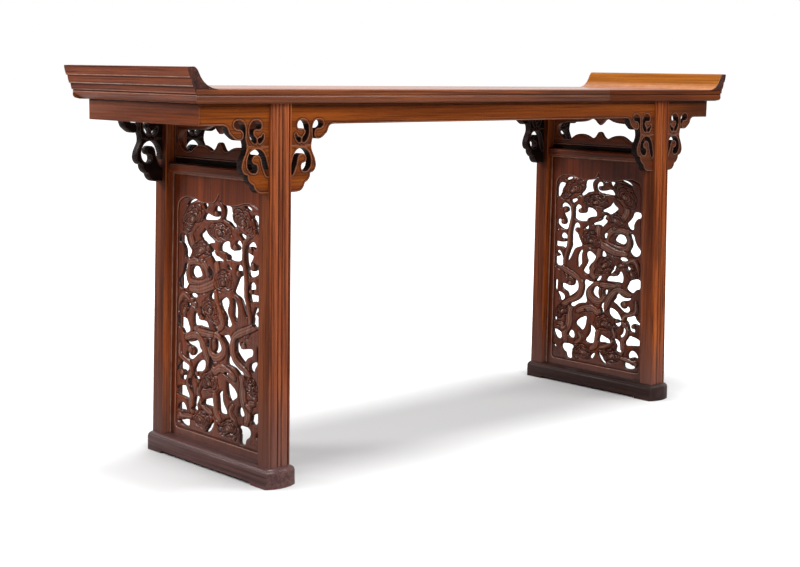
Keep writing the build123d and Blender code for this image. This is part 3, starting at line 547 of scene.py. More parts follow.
# --- finishes ---------------------------------------------------------------------
def node(tree, kind, given=None, **settings):
    """A node with its settings, and its inputs set to values or wired to sockets."""
    made = tree.nodes.new(kind)
    for label, value in settings.items():
        setattr(made, label, value)
    for label, value in (given or {}).items():
        feed(tree, made.inputs[label], value)
    return made


def feed(tree, socket, value):
    """Set an input to a value, or wire it to the socket that gives one."""
    if isinstance(value, bpy.types.NodeSocket):
        tree.links.new(value, socket)
    else:
        socket.default_value = value


def new_group(name, inputs, outputs):
    """A node group, the sockets that it is given and the sockets that it fills."""
    group = bpy.data.node_groups.new(name, "ShaderNodeTree")
    for kind, label, value in inputs:
        socket = group.interface.new_socket(label, in_out="INPUT", socket_type=kind)
        if value is not None:
            socket.default_value = value
    for kind, label in outputs:
        group.interface.new_socket(label, in_out="OUTPUT", socket_type=kind)
    given = node(group, "NodeGroupInput").outputs
    return group, given, node(group, "NodeGroupOutput").inputs


def new_material(name):
    """A material, its node tree, its surface shader's inputs and the place on the table."""
    material = bpy.data.materials.new(name)
    material.use_nodes = True
    tree = material.node_tree
    place = node(tree, "ShaderNodeTexCoord").outputs["Object"]
    return material, tree, tree.nodes["Principled BSDF"].inputs, place


def mapped(tree, place, **settings):
    """A place turned, moved or scaled."""
    given = {label.title(): value for label, value in settings.items()}
    return node(tree, "ShaderNodeMapping", {"Vector": place, **given}).outputs["Vector"]


def noise(tree, place, scale, detail=3.0, rough=0.55, stretch=None):
    """Noise over a place, drawn out along the grain by a stretch."""
    if stretch is not None:
        place = mapped(tree, place, scale=stretch)
    return node(tree, "ShaderNodeTexNoise", {
        "Vector": place, "Scale": scale, "Detail": detail, "Roughness": rough,
    }).outputs["Fac"]


def spread(tree, value, low, high, to_low=0.0, to_high=1.0):
    """Spread a value's range, clamped."""
    return node(tree, "ShaderNodeMapRange", {
        "Value": value, "From Min": low, "From Max": high, "To Min": to_low, "To Max": to_high,
    }).outputs["Result"]


def bumps(tree, height, strength, depth):
    """A surface's normal, roughened by a height."""
    return node(tree, "ShaderNodeBump", {
        "Height": height, "Strength": strength, "Distance": depth,
    }).outputs["Normal"]


def calc(tree, operation, first, second):
    """Work out a number from two others."""
    return node(tree, "ShaderNodeMath", {0: first, 1: second}, operation=operation).outputs[0]


def blend(tree, share, first, second):
    """Mix two colours by a share."""
    return node(tree, "ShaderNodeMix", {0: share, 6: first, 7: second},
                data_type="RGBA").outputs[2]


# colour of painted highlights and sheen: pale pinkish wood
PAINTED_HIGHLIGHT_TONE = (0.62, 0.36, 0.26, 1)
# colour of painted shade in crevices, grooves and recesses: near black
PAINTED_SHADE_TONE = (0.008, 0.003, 0.003, 1)
# colour of the painted reflection of the pale floor, low on legs and panels
FLOOR_REFLECTION_TONE = (0.17, 0.085, 0.072, 1)
# colour of painted shade that darkens parts along the table
SHADE_ALONG_TONE = (0.024, 0.006, 0.001, 1)


def rosewood_group():
    """Oiled rosewood with its grain along X of the vector that it is given."""
    group, given, filled = new_group(
        "rosewood_grain",
        [("NodeSocketVector", "Place", None), ("NodeSocketColor", "Light", None),
         ("NodeSocketColor", "Deep", None), ("NodeSocketColor", "Streak", None),
         ("NodeSocketFloat", "Streaks", 0.6)],
        [("NodeSocketColor", "Color"), ("NodeSocketFloat", "Roughness"),
         ("NodeSocketFloat", "Height")],
    )
    place = given["Place"]
    drift = noise(group, place, 1.0, 2.0, 0.5, (1.3, 9.0, 9.0))
    bands = noise(group, place, 1.0, 4.0, 0.62, (2.0, 60.0, 60.0))
    lines = noise(group, place, 1.0, 3.0, 0.65, (3.2, 230.0, 230.0))
    fibres = noise(group, place, 1.0, 2.0, 0.7, (16.0, 900.0, 900.0))
    pores = noise(group, place, 1.0, 2.0, 0.5, (80.0, 1500.0, 1500.0))
    body = calc(group, "ADD", calc(group, "MULTIPLY", drift, 0.4),
                calc(group, "MULTIPLY", bands, 0.6))
    colour = blend(group, spread(group, body, 0.40, 0.60), given["Light"], given["Deep"])
    streaks = calc(group, "MULTIPLY", spread(group, lines, 0.48, 0.66), given["Streaks"])
    colour = blend(group, streaks, colour, given["Streak"])
    colour = blend(group, spread(group, fibres, 0.35, 0.8, 0.0, 0.5), colour, given["Deep"])
    open_pores = spread(group, pores, 0.60, 0.70)
    colour = blend(group, calc(group, "MULTIPLY", open_pores, 0.5), colour, given["Streak"])
    rough = calc(group, "ADD", spread(group, fibres, 0.3, 0.7, 0.0, 0.10),
                 spread(group, drift, 0.3, 0.7, 0.28, 0.42))
    height = calc(group, "SUBTRACT", calc(group, "MULTIPLY", fibres, 0.35),
                  calc(group, "MULTIPLY", open_pores, 0.6))
    feed(group, filled["Color"], colour)
    feed(group, filled["Roughness"], rough)
    feed(group, filled["Height"], height)
    return group


def painted_light_group():
    """Painted light: dark painted shade in crevices and pale painted highlights, from attributes.
    """
    group, given, filled = new_group(
        "painted_shade_and_highlight",
        [("NodeSocketColor", "Wood", None), ("NodeSocketVector", "Place", None),
         ("NodeSocketFloat", "Painted_Shade", 0.0), ("NodeSocketFloat", "Painted_Sheen", 0.0),
         ("NodeSocketFloat", "Painted_Highlight", 0.0)],
        [("NodeSocketColor", "Color"), ("NodeSocketFloat", "Dulling")],
    )
    patches = noise(group, given["Place"], 42.0, 3.0, 0.6)
    hidden = calc(group, "MULTIPLY", given["Painted_Shade"],
                  spread(group, patches, 0.3, 0.7, 0.75, 1.0))
    painted_highlight = calc(group, "MULTIPLY", calc(group, "MAXIMUM", given["Painted_Sheen"], given["Painted_Highlight"]),
                spread(group, patches, 0.35, 0.65, 0.45, 1.0))
    colour = blend(group, painted_highlight, given["Wood"], PAINTED_HIGHLIGHT_TONE)
    colour = blend(group, hidden, colour, PAINTED_SHADE_TONE)
    feed(group, filled["Color"], colour)
    feed(group, filled["Dulling"], calc(group, "MULTIPLY", hidden, 0.35))
    return group


ROSEWOOD = rosewood_group()
PAINTED_LIGHT = painted_light_group()
GRAIN_TURNS = {"x": (0, 0, 0), "y": (0, 0, pi / 2), "z": (0, pi / 2, 0)}


def rosewood(name, grain, light, deep, streak, streaks=0.7, coat=0.08, sheen=0.28, floor_reflection_to=0,
             shift=(0, 0, 0), coat_blur=0.22, shade_along=None):
    """Material of oiled rosewood, its grain along one axis.

    A painted reflection of the pale floor tints it from the floor up to a level, and painted
    shade darkens it from one place along the table to another, by a share.
    """
    material, tree, surface, place = new_material(name)
    grained = node(tree, "ShaderNodeGroup", node_tree=ROSEWOOD)
    turned = mapped(tree, place, rotation=GRAIN_TURNS[grain], location=shift)
    for label, value in (("Place", turned), ("Light", (*light, 1)), ("Deep", (*deep, 1)),
                         ("Streak", (*streak, 1)), ("Streaks", streaks)):
        feed(tree, grained.inputs[label], value)
    wood = grained.outputs["Color"]
    axes = node(tree, "ShaderNodeSeparateXYZ", {0: place}).outputs
    # painted reflection of the floor, strongest at the foot
    if floor_reflection_to:
        share = spread(tree, axes["Z"], FOOT_TOP, floor_reflection_to, 0.7, 0.0)
        wood = blend(tree, share, wood, FLOOR_REFLECTION_TONE)
    # painted shade, growing from one place along the table to another
    if shade_along:
        start, stop, most = shade_along
        share = spread(tree, axes["X"], start, stop, 0.0, most)
        wood = blend(tree, share, wood, SHADE_ALONG_TONE)
    painted_light_node = node(tree, "ShaderNodeGroup", node_tree=PAINTED_LIGHT)
    feed(tree, painted_light_node.inputs["Wood"], wood)
    feed(tree, painted_light_node.inputs["Place"], place)
    # painted shade, painted sheen and painted highlights, as marked on the pieces
    for label in ("painted_shade", "painted_sheen", "painted_highlight"):
        reader = node(tree, "ShaderNodeAttribute", attribute_name=label)
        feed(tree, painted_light_node.inputs[label.title()], reader.outputs["Fac"])
    dull = calc(tree, "ADD", grained.outputs["Roughness"], painted_light_node.outputs["Dulling"])
    for label, value in (("Base Color", painted_light_node.outputs["Color"]), ("Roughness", dull),
                         ("Normal", bumps(tree, grained.outputs["Height"], 0.35, 0.3 * MM)),
                         ("Coat Weight", coat), ("Coat Roughness", coat_blur),
                         ("Specular IOR Level", sheen)):
        feed(tree, surface[label], value)
    return material


HONEY = ((0.39, 0.091, 0.009), (0.18, 0.036, 0.004), (0.034, 0.007, 0.002))
ORANGE = ((0.33, 0.108, 0.012), (0.20, 0.058, 0.006), (0.10, 0.023, 0.003))
CHESTNUT = ((0.66, 0.170, 0.045), (0.27, 0.056, 0.014), (0.045, 0.009, 0.004))
# palette of painted shade for the legs' flat cheeks
RUSSET = ((0.40, 0.106, 0.036), (0.165, 0.037, 0.012), (0.030, 0.008, 0.005))
SHADED_RUSSET = ((0.31, 0.074, 0.023), (0.125, 0.026, 0.008), (0.024, 0.006, 0.003))
COPPER = ((0.56, 0.132, 0.026), (0.225, 0.044, 0.008), (0.035, 0.007, 0.003))
UMBER = ((0.21, 0.044, 0.005), (0.088, 0.017, 0.003), (0.020, 0.004, 0.002))
BROWN = ((0.36, 0.092, 0.020), (0.15, 0.034, 0.008), (0.030, 0.007, 0.003))
DARK = ((0.25, 0.052, 0.012), (0.10, 0.020, 0.006), (0.024, 0.005, 0.003))
REDDISH = ((0.40, 0.088, 0.026), (0.165, 0.033, 0.010), (0.025, 0.006, 0.003))
CARVED_LIT = ((0.39, 0.064, 0.006), (0.17, 0.027, 0.003), (0.040, 0.007, 0.002))
CARVED_IN_SHADE = ((0.215, 0.032, 0.003), (0.090, 0.014, 0.002), (0.020, 0.004, 0.001))
TAWNY = ((0.44, 0.092, 0.012), (0.19, 0.034, 0.005), (0.040, 0.008, 0.002))
SHADED_PLUM = ((0.075, 0.030, 0.023), (0.030, 0.012, 0.009), (0.010, 0.004, 0.004))
PLUM = ((0.20, 0.090, 0.080), (0.080, 0.034, 0.032), (0.026, 0.012, 0.013))
# painted shade: near black, for faces that lie in shade
SHADE_BLACK = ((0.024, 0.011, 0.009), (0.012, 0.006, 0.006), (0.006, 0.003, 0.004))

# painted shade darkens the long rails towards the right
rail_finish = rosewood("rail_rosewood", "x", *BROWN, coat=0.25, sheen=0.35,
                       shade_along=(-0.1, 0.45, 0.55))
# painted shade: darker copy for the front rail's right end
rail_end_shade_finish = rosewood("rail_end_rosewood_in_shade", "x", *UMBER, coat=0.03, sheen=0.12)
# painted shade darkens the aprons and spandrels at the right end
apron_finish = rosewood("apron_rosewood", "x", *HONEY, coat=0.02, sheen=0.15,
                        shift=(0.7, 0.3, 0.1), shade_along=(0.62, 0.80, 0.5))
# painted shade: darker copy for the right-hand ears and spandrels
shaded_ear_finish = rosewood("carved_ear_rosewood_in_shade", "x", *UMBER, coat=0.25, sheen=0.2,
                             shift=(0.7, 0.3, 0.1), coat_blur=0.15)
leg_finishes = {
    "left": rosewood("leg_rosewood_left", "z", *CHESTNUT, streaks=0.85, coat=0.10, floor_reflection_to=0.24,
                     shift=(0.2, 0.5, 0.4)),
    "right": rosewood("leg_rosewood_right", "z", *COPPER, streaks=0.95, coat=0.02, sheen=0.16,
                      floor_reflection_to=0.18, shift=(0.8, 0.1, 0.6)),
}
# painted shade: darker copies for the legs' flat cheeks, the rear legs' darker still
leg_cheek_shade_finishes = {
    "front": rosewood("leg_cheek_rosewood_in_shade_front", "z", *RUSSET, streaks=0.85, coat=0.0,
                      sheen=0.14, floor_reflection_to=0.24, shift=(0.2, 0.5, 0.4)),
    "rear": rosewood("leg_cheek_rosewood_in_deeper_shade_rear", "z", *SHADED_RUSSET, streaks=0.85, coat=0.0,
                     sheen=0.12, floor_reflection_to=0.24, shift=(0.5, 0.2, 0.7)),
}
end_finish = rosewood("everted_end_rosewood", "y", *REDDISH, streaks=0.95, shift=(0.1, 0.2, 0.9))
hollow_finish = rosewood("hollow_rosewood", "y", *ORANGE, coat=0, sheen=0.10,
                         shift=(0.6, 0.9, 0.3))
end_apron_finish = rosewood("end_apron_rosewood", "y", *TAWNY, shift=(0.8, 0.2, 0.5))
cross_finish = rosewood("cross_rail_rosewood", "y", *DARK, shift=(0.4, 0.6, 0.3))
# painted light: the left panel's copy is lighter, as lit, the right one's darker, as in shade
panel_finishes = {
    "left": rosewood("carved_panel_rosewood_lit", "z", *CARVED_LIT, coat=0.55, sheen=0.25,
                     floor_reflection_to=0.11, shift=(0.3, 0.8, 0.2), coat_blur=0.15),
    "right": rosewood("carved_panel_rosewood_in_shade", "z", *CARVED_IN_SHADE, coat=0.45, sheen=0.2,
                      floor_reflection_to=0.11, shift=(0.9, 0.1, 0.6), coat_blur=0.15),
}
# painted shade: the right foot's copy is darker
foot_finishes = {
    "left": rosewood("foot_rosewood_left", "y", *PLUM, coat=0.2, shift=(0.6, 0.1, 0.5)),
    "right": rosewood("foot_rosewood_right_in_shade", "y", *SHADED_PLUM, coat=0.1, shift=(0.3, 0.4, 0.2)),
}
surface_finish = rosewood("table_surface_rosewood", "x", *BROWN, coat=0.6, shift=(0.9, 0.4, 0.7))
inside_shade_finish = rosewood("inside_painted_shade", "x", *SHADE_BLACK, coat=0, sheen=0.08, shift=(0.5, 0.5, 0.2))


def end_grain(name):
    """Rough, nearly black sawn end, with small pale specks."""
    material, tree, surface, place = new_material(name)
    blotch = noise(tree, place, 90, 4, 0.6)
    specks = noise(tree, place, 420, 3, 0.7)
    colour = blend(tree, spread(tree, blotch, 0.35, 0.65), (0.026, 0.008, 0.006, 1),
                   (0.105, 0.030, 0.018, 1))
    colour = blend(tree, spread(tree, specks, 0.62, 0.70, 0.0, 0.8), colour,
                   (0.34, 0.25, 0.24, 1))
    feed(tree, surface["Base Color"], colour)
    feed(tree, surface["Roughness"], spread(tree, specks, 0.3, 0.7, 0.35, 0.75))
    feed(tree, surface["Specular IOR Level"], 0.2)
    feed(tree, surface["Normal"], bumps(tree, specks, 0.8, 1.2 * MM))
    return material


end_grain_finish = end_grain("everted_end_grain")


# --- top --------------------------------------------------------------------------
# Outside of a long rail, as (sunk behind its furthest face, level): worn arris, flat
# band, quirk, and a bulging band that draws in at the underside
RAIL_BANDS = [
    (4.6, 860.0), (3.0, 859.7), (1.9, 858.9), (1.4, 857.6), (1.3, 853), (1.3, 848.4),
    (2.6, 847.5), (2.6, 846.9), (2.0, 846.5), (1.2, 845.4), (0.6, 843.6), (0.2, 841.4),
    (0.0, 839.2), (0.3, 837.0), (1.0, 835.0), (2.0, 833.2), (3.4, 831.9), (5.4, 831.0),
    (8.2, 830.4), (10.4, 829.4),
]


def rail_section(end):
    """Section of a long rail."""
    outline = [(HALF_DEPTH - sunk * MM, level * MM) for sunk, level in RAIL_BANDS]
    outline += [(RAIL_INNER, UNDERSIDE), (RAIL_INNER, SURFACE)]
    return [(-HALF_LENGTH, end * across, up) for across, up in outline]


SHADED_FROM = 403 * MM  # the front rail's right end is painted darker, as painted shade
QUIRK = (846.1 * MM, 847.8 * MM)  # levels of the quirk, dark with painted shade
ARRIS = 2.1 * MM  # height of the worn arris, below the surface
NEAR = 0.2 * MM  # two levels this near are one

for end_name, end in ENDS.items():
    rail = blank(rail_section(end), (2 * HALF_LENGTH, 0, 0), f"moulded_rail_{end_name}")
    for side in SIDES.values():
        saw(rail, (side * HALF_LENGTH, end * HALF_DEPTH, 0), (side, -end, 0))
    tidy_faces(rail)
    if end_name == "front":
        saw(rail, (SHADED_FROM, 0, 0), (1, 0, 0), parting=False)
    # painted shade: light on the arris below the surface, deep in the quirk
    mark(rail, "painted_shade", 0.3, lambda face: face.center.z > SURFACE - ARRIS
         and abs(face.normal.y) > 0.2 and abs(face.center.y) > RAIL_INNER + MM)
    mark(rail, "painted_shade", 0.85, lambda face: QUIRK[0] < face.center.z < QUIRK[1])
    soften(rail)
    fit(rail, rail_finish, f"top_rail_{end_name}")
    if end_name == "front":
        # painted shade on the front of the rail's right end
        refinish(rail, rail_end_shade_finish,
                 lambda face: face.center.x > SHADED_FROM and face.normal.y < -0.1)

FLANGE_TIP = 15 * MM  # flat top of an everted end, from its tip inwards
FLANGE_NOSE = 12 * MM  # rounding between that and the hollow
SWEEP_RADIUS = 51 * MM
# Outside of an everted end, as (reach, level): three sunk bands and the foot moulding
FLANGE_BANDS = [
    (914.2, 903.2), (913.7, 897), (912.0, 890), (910.2, 884.4), (910.3, 883.4), (909.6, 882.2),
    (906.2, 881.2), (906.0, 879.6), (905.0, 873), (903.0, 866.8), (903.0, 865.6), (902.2, 864.4),
    (898.9, 863.4), (898.7, 861.6), (897.6, 856), (896.6, 851.6), (896.2, 850.6), (892.9, 849.6),
    (892.8, 847.9), (893.9, 847.0), (893.4, 845.4), (890.8, 841), (886.6, 836.8), (881.4, 833.4),
    (875, 831), (867, 829.4),
]
# levels where the outside's arrises get painted highlights, and where its sunk bands get painted
# shade
ARRIS_LEVELS = [(882.0, 884.7), (864.2, 867.0), (850.4, 851.8), (845.3, 847.2), (829.3, 832.0)]
SUNK_LEVELS = [(879.4, 881.9), (861.4, 864.1), (847.7, 850.0)]
OUTSIDE_FROM = 862 * MM  # the end's outside lies beyond this, along the table
# painted reflection: the hollow's foot, paler towards the surface: (height above the surface in mm,
# how pale)
HOLLOW_FOOT_SHEEN = [(16, 0.12), (10, 0.3)]
HOLLOW_ARRIS = 0.9 * MM  # width of the broken edge along the hollow's sawn ends
SWEEP_STEPS, NOSE_STEPS = 14, 6


def everted_section(side):
    """Section of an everted end: hollow sweep, rounded tip and the stepped outside."""
    nose_start = FLANGE_REACH - FLANGE_TIP
    sweep_end = nose_start - FLANGE_NOSE
    rise = FLANGE_TOP - SURFACE - FLANGE_NOSE
    run = (SWEEP_RADIUS**2 - (SWEEP_RADIUS - rise) ** 2) ** 0.5
    start = sweep_end - run
    outline = [(reach * MM, level * MM) for reach, level in FLANGE_BANDS]
    outline += [(MEMBER_INNER, UNDERSIDE), (MEMBER_INNER, SURFACE)]
    for across in (run * index / SWEEP_STEPS for index in range(SWEEP_STEPS + 1)):
        sunk = SWEEP_RADIUS - (SWEEP_RADIUS**2 - across**2) ** 0.5
        outline.append((start + across, SURFACE + sunk))
    for turn in (index / NOSE_STEPS for index in range(1, NOSE_STEPS + 1)):
        fall = FLANGE_NOSE * (1 - turn) ** 1.9
        outline.append((sweep_end + FLANGE_NOSE * turn, FLANGE_TOP - fall))
    return [(side * across, -HALF_DEPTH, up) for across, up in outline]


def highlight_hollow_arris(everted, side):
    """Break the edges where the hollow meets the sawn ends, and paint a highlight on them."""
    mesh = everted.data
    hollow = {index: mesh.vertices[index].co.y for face in mesh.polygons
              if side * face.normal.x < -0.05 and face.center.z > SURFACE + NEAR
              for index in face.vertices}

    def at_an_end(edge):
        places = [hollow[index] for index in edge.vertices if index in hollow]
        return len(places) == 2 and abs(sum(places)) > 2 * HALF_DEPTH - NEAR

    bevel(everted, at_an_end, HOLLOW_ARRIS, 1)
    mark(everted, "painted_sheen", 0.8, lambda face: face.select
         and abs(face.center.y) > HALF_DEPTH - 2 * MM)


def mitre_wedge(side, end):
    """Block that the long rail takes out of an everted end, up to the mitre."""
    reach = 60 * MM
    section = [
        (side * (MEMBER_INNER - reach), end * (RAIL_INNER - reach), UNDERSIDE - reach),
        (side * (HALF_LENGTH + reach), end * (HALF_DEPTH + reach), UNDERSIDE - reach),
        (side * (MEMBER_INNER - reach), end * (HALF_DEPTH + reach), UNDERSIDE - reach),
    ]
    return blank(section, (0, 0, SURFACE - UNDERSIDE + reach), "mitre_wedge")


for side_name, side in SIDES.items():
    everted = blank(everted_section(side), (0, 2 * HALF_DEPTH, 0), f"everted_end_{side_name}")
    for end in ENDS.values():
        cut_out(everted, mitre_wedge(side, end))
    tidy_faces(everted)
    # painted highlights on the arrises, painted shade in the sunk bands
    for levels, label, amount in ((ARRIS_LEVELS, "painted_sheen", 0.9), (SUNK_LEVELS, "painted_shade", 0.5)):
        mark(everted, label, amount, lambda face: abs(face.normal.y) < 0.5
             and abs(face.center.x) > OUTSIDE_FROM and side * face.normal.x > -0.01
             and any(low * MM < face.center.z < high * MM for low, high in levels))
    highlight_hollow_arris(everted, side)
    # painted reflection, paler towards the surface
    for height, amount in HOLLOW_FOOT_SHEEN:
        mark(everted, "painted_sheen", amount, lambda face: side * face.normal.x < -0.02
             and abs(face.normal.y) < 0.5
             and SURFACE + NEAR < face.center.z < SURFACE + height * MM)
    soften(everted)
    fit(everted, end_finish, f"top_end_{side_name}")
    refinish(everted, hollow_finish, lambda face: side * face.normal.x < -0.02
             and face.center.z > SURFACE + NEAR)
    refinish(everted, surface_finish, lambda face: face.normal.z > 0.985
             and SURFACE - NEAR < face.center.z < FLANGE_TOP - 4 * MM)
    refinish(everted, end_grain_finish, lambda face: abs(face.normal.y) > 0.9
             and abs(face.center.y) > HALF_DEPTH - MM)


# --- carved boards ----------------------------------------------------------------
def polygon_side(points, outline):
    """Which points lie inside a closed outline."""
    inside = np.zeros(len(points), dtype=bool)
    x, y = points[:, 0], points[:, 1]
    following = np.roll(outline, -1, axis=0)
    for (x0, y0), (x1, y1) in zip(outline, following):
        if y0 == y1:
            continue
        crossing = (y0 > y) != (y1 > y)
        inside ^= crossing & (x < (x1 - x0) * (y - y0) / (y1 - y0) + x0)
    return inside


def line_distance(points, line):
    """Distance from a line, the share along it and the distance to its left, of each point."""
    starts, ends = line[:-1], line[1:]
    best = np.full(len(points), 1e9)
    share = np.zeros(len(points))
    lateral = np.zeros(len(points))
    for index, (start, stop) in enumerate(zip(starts, ends)):
        along = stop - start
        length = np.hypot(*along)
        if length == 0:
            continue
        unit = along / length
        offset = points - start
        turn = np.clip(offset @ unit / length, 0, 1)
        apart = offset - turn[:, None] * along
        distance = np.hypot(apart[:, 0], apart[:, 1])
        nearer = distance < best
        best = np.where(nearer, distance, best)
        share = np.where(nearer, (index + turn) / len(starts), share)
        side = unit[0] * offset[:, 1] - unit[1] * offset[:, 0]
        lateral = np.where(nearer, np.sign(side) * distance, lateral)
    return best, share, lateral


NUDGE = 0.2  # mm, a step that tells which side of an outline is wood


def distances(line):
    """How far along a line each of its points lies."""
    return np.concatenate([[0], np.cumsum(np.hypot(*np.diff(line, axis=0).T))])


def points_at(line, places):
    """Points at some distances along a line."""
    return np.column_stack([np.interp(places, distances(line), axis) for axis in line.T])


def sampled(outline, spacing=1.5, rounded=round):
    """Points at even spacing along a closed outline, eight or more of them."""
    line = np.array([*outline, outline[0]], dtype=float)
    length = distances(line)[-1]
    count = max(8, int(rounded(length / spacing)))
    return points_at(line, np.arange(count) * length / count)


def stepped(line, spacing=1.5):
    """Points at even spacing along an open line, its two ends kept."""
    line = np.array(line, dtype=float)
    length = distances(line)[-1]
    count = max(1, int(round(length / spacing)))
    return points_at(line, np.linspace(0, length, count + 1))


def edge_finder(loops):
    """Finds the distance from points to the nearest of some outlines."""
    places = np.vstack([sampled(loop, 0.4, int) for loop in loops])
    tree = KDTree(len(places))
    for index, (across, up) in enumerate(places):
        tree.insert((across, up, 0), index)
    tree.balance()
    return lambda points: np.array([tree.find((x, y, 0))[2] for x, y in points])


def beside(loop, apart):
    """A closed outline moved sideways, to its left."""
    ahead = np.roll(loop, -1, axis=0) - np.roll(loop, 1, axis=0)
    normal = np.column_stack([-ahead[:, 1], ahead[:, 0]]) / np.hypot(*ahead.T)[:, None]
    return loop + normal * apart


def on_board(points, loops):
    """Which points lie on the wood: inside the first outline and in none of the others."""
    inside = polygon_side(points, loops[0])
    for loop in loops[1:]:
        low, high = loop.min(axis=0), loop.max(axis=0)
        near = np.all((points > low) & (points < high), axis=1)
        inside[near] &= ~polygon_side(points[near], loop)
    return inside


def staggered(low, high, grid):
    """Points of a staggered grid between two corners."""
    across, up = np.meshgrid(np.arange(low[0], high[0], grid), np.arange(low[1], high[1], grid))
    across[1::2] += grid / 2
    return np.column_stack([across.ravel(), up.ravel()])


def board_grid(loops, rims, grid, detail=None):
    """Points and triangles over a board: rings at set distances from its edges, then a grid.

    The detail is a finer grid and a test of where it takes the grid's place.
    """
    distance = edge_finder(loops)
    rings = []
    for loop in loops:
        inwards = -1 if on_board(beside(loop, NUDGE), loops).mean() < 0.5 else 1
        for rim in rims:
            ring = beside(loop, inwards * rim)
            ring = ring[on_board(ring, loops)]
            if len(ring):
                rings.append(ring[distance(ring) > rim * 0.96])
    low, high = loops[0].min(axis=0), loops[0].max(axis=0)
    field = staggered(low, high, grid)
    if detail:
        finer, wanted = detail
        fine = staggered(low, high, finer)
        field = np.vstack([field[~wanted(field)], fine[wanted(fine)]])
    field = field[on_board(field, loops)]
    field = field[distance(field) > rims[-1] + grid * 0.55]
    points = np.vstack(list(loops) + rings + [field])
    edges = []
    owner = np.full(len(points), -1)
    start = 0
    for index, loop in enumerate(loops):
        count = len(loop)
        owner[start:start + count] = index
        edges += [(start + i, start + (i + 1) % count) for i in range(count)]
        start += count
    result = delaunay_2d_cdt([Vector(point) for point in points], edges, [], 0, 1e-4, True)
    points = np.array([(vert.x, vert.y) for vert in result[0]])
    owner = np.array([owner[origin[0]] if origin else -1 for origin in result[3]])
    triangles = np.array(result[2])
    rim_only = np.all(owner[triangles] >= 0, axis=1)
    wood = np.ones(len(triangles), dtype=bool)
    wood[rim_only] = on_board(points[triangles[rim_only]].mean(axis=1), loops)
    triangles = triangles[wood]
    used = np.unique(triangles)
    renumber = np.full(len(points), -1)
    renumber[used] = np.arange(len(used))
    points = points[used]
    return points, renumber[triangles], distance(points)


def board_piece(name, loops, rims, grid, heights, detail=None):
    """Board carved alike on both faces, in its own plane, in metres."""
    loops = [np.array(loop, dtype=float) for loop in loops]
    points, triangles, gaps = board_grid(loops, rims, grid, detail)
    height, shade, painted_highlight = heights(points, gaps)
    count = len(points)
    front = np.column_stack([points, height]) * MM
    back = np.column_stack([points, -height]) * MM
    edges = dict.fromkeys(edge for a, b, c in triangles.tolist()
                          for edge in ((a, b), (b, c), (c, a)))
    walls = [(a, b) for a, b in edges if (b, a) not in edges]
    faces = [tuple(face) for face in triangles.tolist()]
    faces += [(c + count, b + count, a + count) for a, b, c in triangles.tolist()]
    faces += [(b, a, a + count, b + count) for a, b in walls]
    mesh = bpy.data.meshes.new(name)
    mesh.from_pydata(np.vstack([front, back]).tolist(), [], faces)
    for label, values in (("painted_shade", shade), ("painted_highlight", painted_highlight)):
        attribute = mesh.attributes.new(label, "FLOAT", "POINT")
        attribute.data.foreach_set("value", np.concatenate([values, values]).astype(np.float32))
    mesh.update()
    piece = bpy.data.objects.new(name, mesh)
    bpy.context.collection.objects.link(piece)
    return piece


BEAD = 4.0  # mm, width of the raised bead along the sawn edges
BEAD_RISE = 1.5  # mm that the bead stands above the groove beside it
FIELD_RISE = 0.8  # mm that the field stands above it


def beaded_face(half):
    """Height of a board's face: a bead along its edges, a groove inside it, then the field."""
    def heights(points, gaps):
        across = np.clip((gaps - BEAD / 2) / (BEAD / 2), -1, 1)
        bead = half - BEAD_RISE * (1 - np.sqrt(1 - across**2))
        inside = np.clip((gaps - BEAD - 0.6) / 1.8, 0, 1)
        field = half - BEAD_RISE + FIELD_RISE * inside**2 * (3 - 2 * inside)
        height = np.where(gaps < BEAD, bead, field)
        # painted shade in the groove, and a painted highlight along the bead's top
        groove = np.exp(-((gaps - BEAD - 0.2) / 0.9) ** 2)
        painted_highlight = np.exp(-((gaps - BEAD / 2) / 1.1) ** 2)
        return height, np.clip(groove * 0.9, 0, 1), 0.3 * painted_highlight
    return heights


def apron_face(points, gaps):
    """Beaded face with painted shadow along its upper edge, under the top's rail."""
    height, shade, painted_highlight = beaded_face(BOARD_DEPTH / 2 / MM)(points, gaps)
    below = UNDERSIDE / MM - points[:, 1]
    shade = np.maximum(shade, 0.75 * np.clip(1 - below / 12, 0, 1))
    return height, shade, painted_highlight * (below > 8)


# --- aprons and spandrels ---------------------------------------------------------
LEG_HALF = LEG_WIDTH / 2
STRAIGHT_STEP = 9  # mm between the points of a straight edge
DRAWN_SCALE = 0.955  # the outlines were drawn in a plane further back than the boards' face


def from_leg(points, edge, hand):
    """Outline points measured from a leg's edge, on the hand's side of the leg, in mm."""
    return [(edge + hand * across * DRAWN_SCALE, APRON_BOTTOM / MM - down)
            for across, down in points]


def leg_edge(side, hand):
    """Where a leg's edge crosses the apron's lower edge, in mm."""
    return (side * frame_station(APRON_BOTTOM) + hand * LEG_HALF) / MM


def apron_outline():
    """Long apron with the upper halves of its four spandrels, from its left end."""
    end, bottom, top = APRON_END / MM, APRON_BOTTOM / MM, UNDERSIDE / MM
    ear = stepped(joined_runs(EAR_RUNS)).tolist()
    ears = []
    for side in (-1, 1):
        ears += [from_leg(ear, leg_edge(side, -1), -1),
                 from_leg(ear, leg_edge(side, 1), 1)[::-1]]
    outline = [(-end, top)]
    for run in ([(-end, bottom)], *ears, [(end, bottom)], [(end, top)], [(-end, top)]):
        outline += stepped([outline[-1], run[0]], STRAIGHT_STEP)[1:].tolist()
        outline += run[1:]
    return outline[:-1]


apron_loops = [apron_outline()]
for side in (-1, 1):
    for hand in (-1, 1):
        apron_loops += [sampled(from_leg(eased(eye), leg_edge(side, hand), hand))
                        for eye in (UPPER_EYE, UPPER_GAP)]
BEAD_RINGS = (0.5, 1.2, 2.0, 2.8, 3.5, 4.1, 4.8, 5.8, 7.0)  # mm from the edges


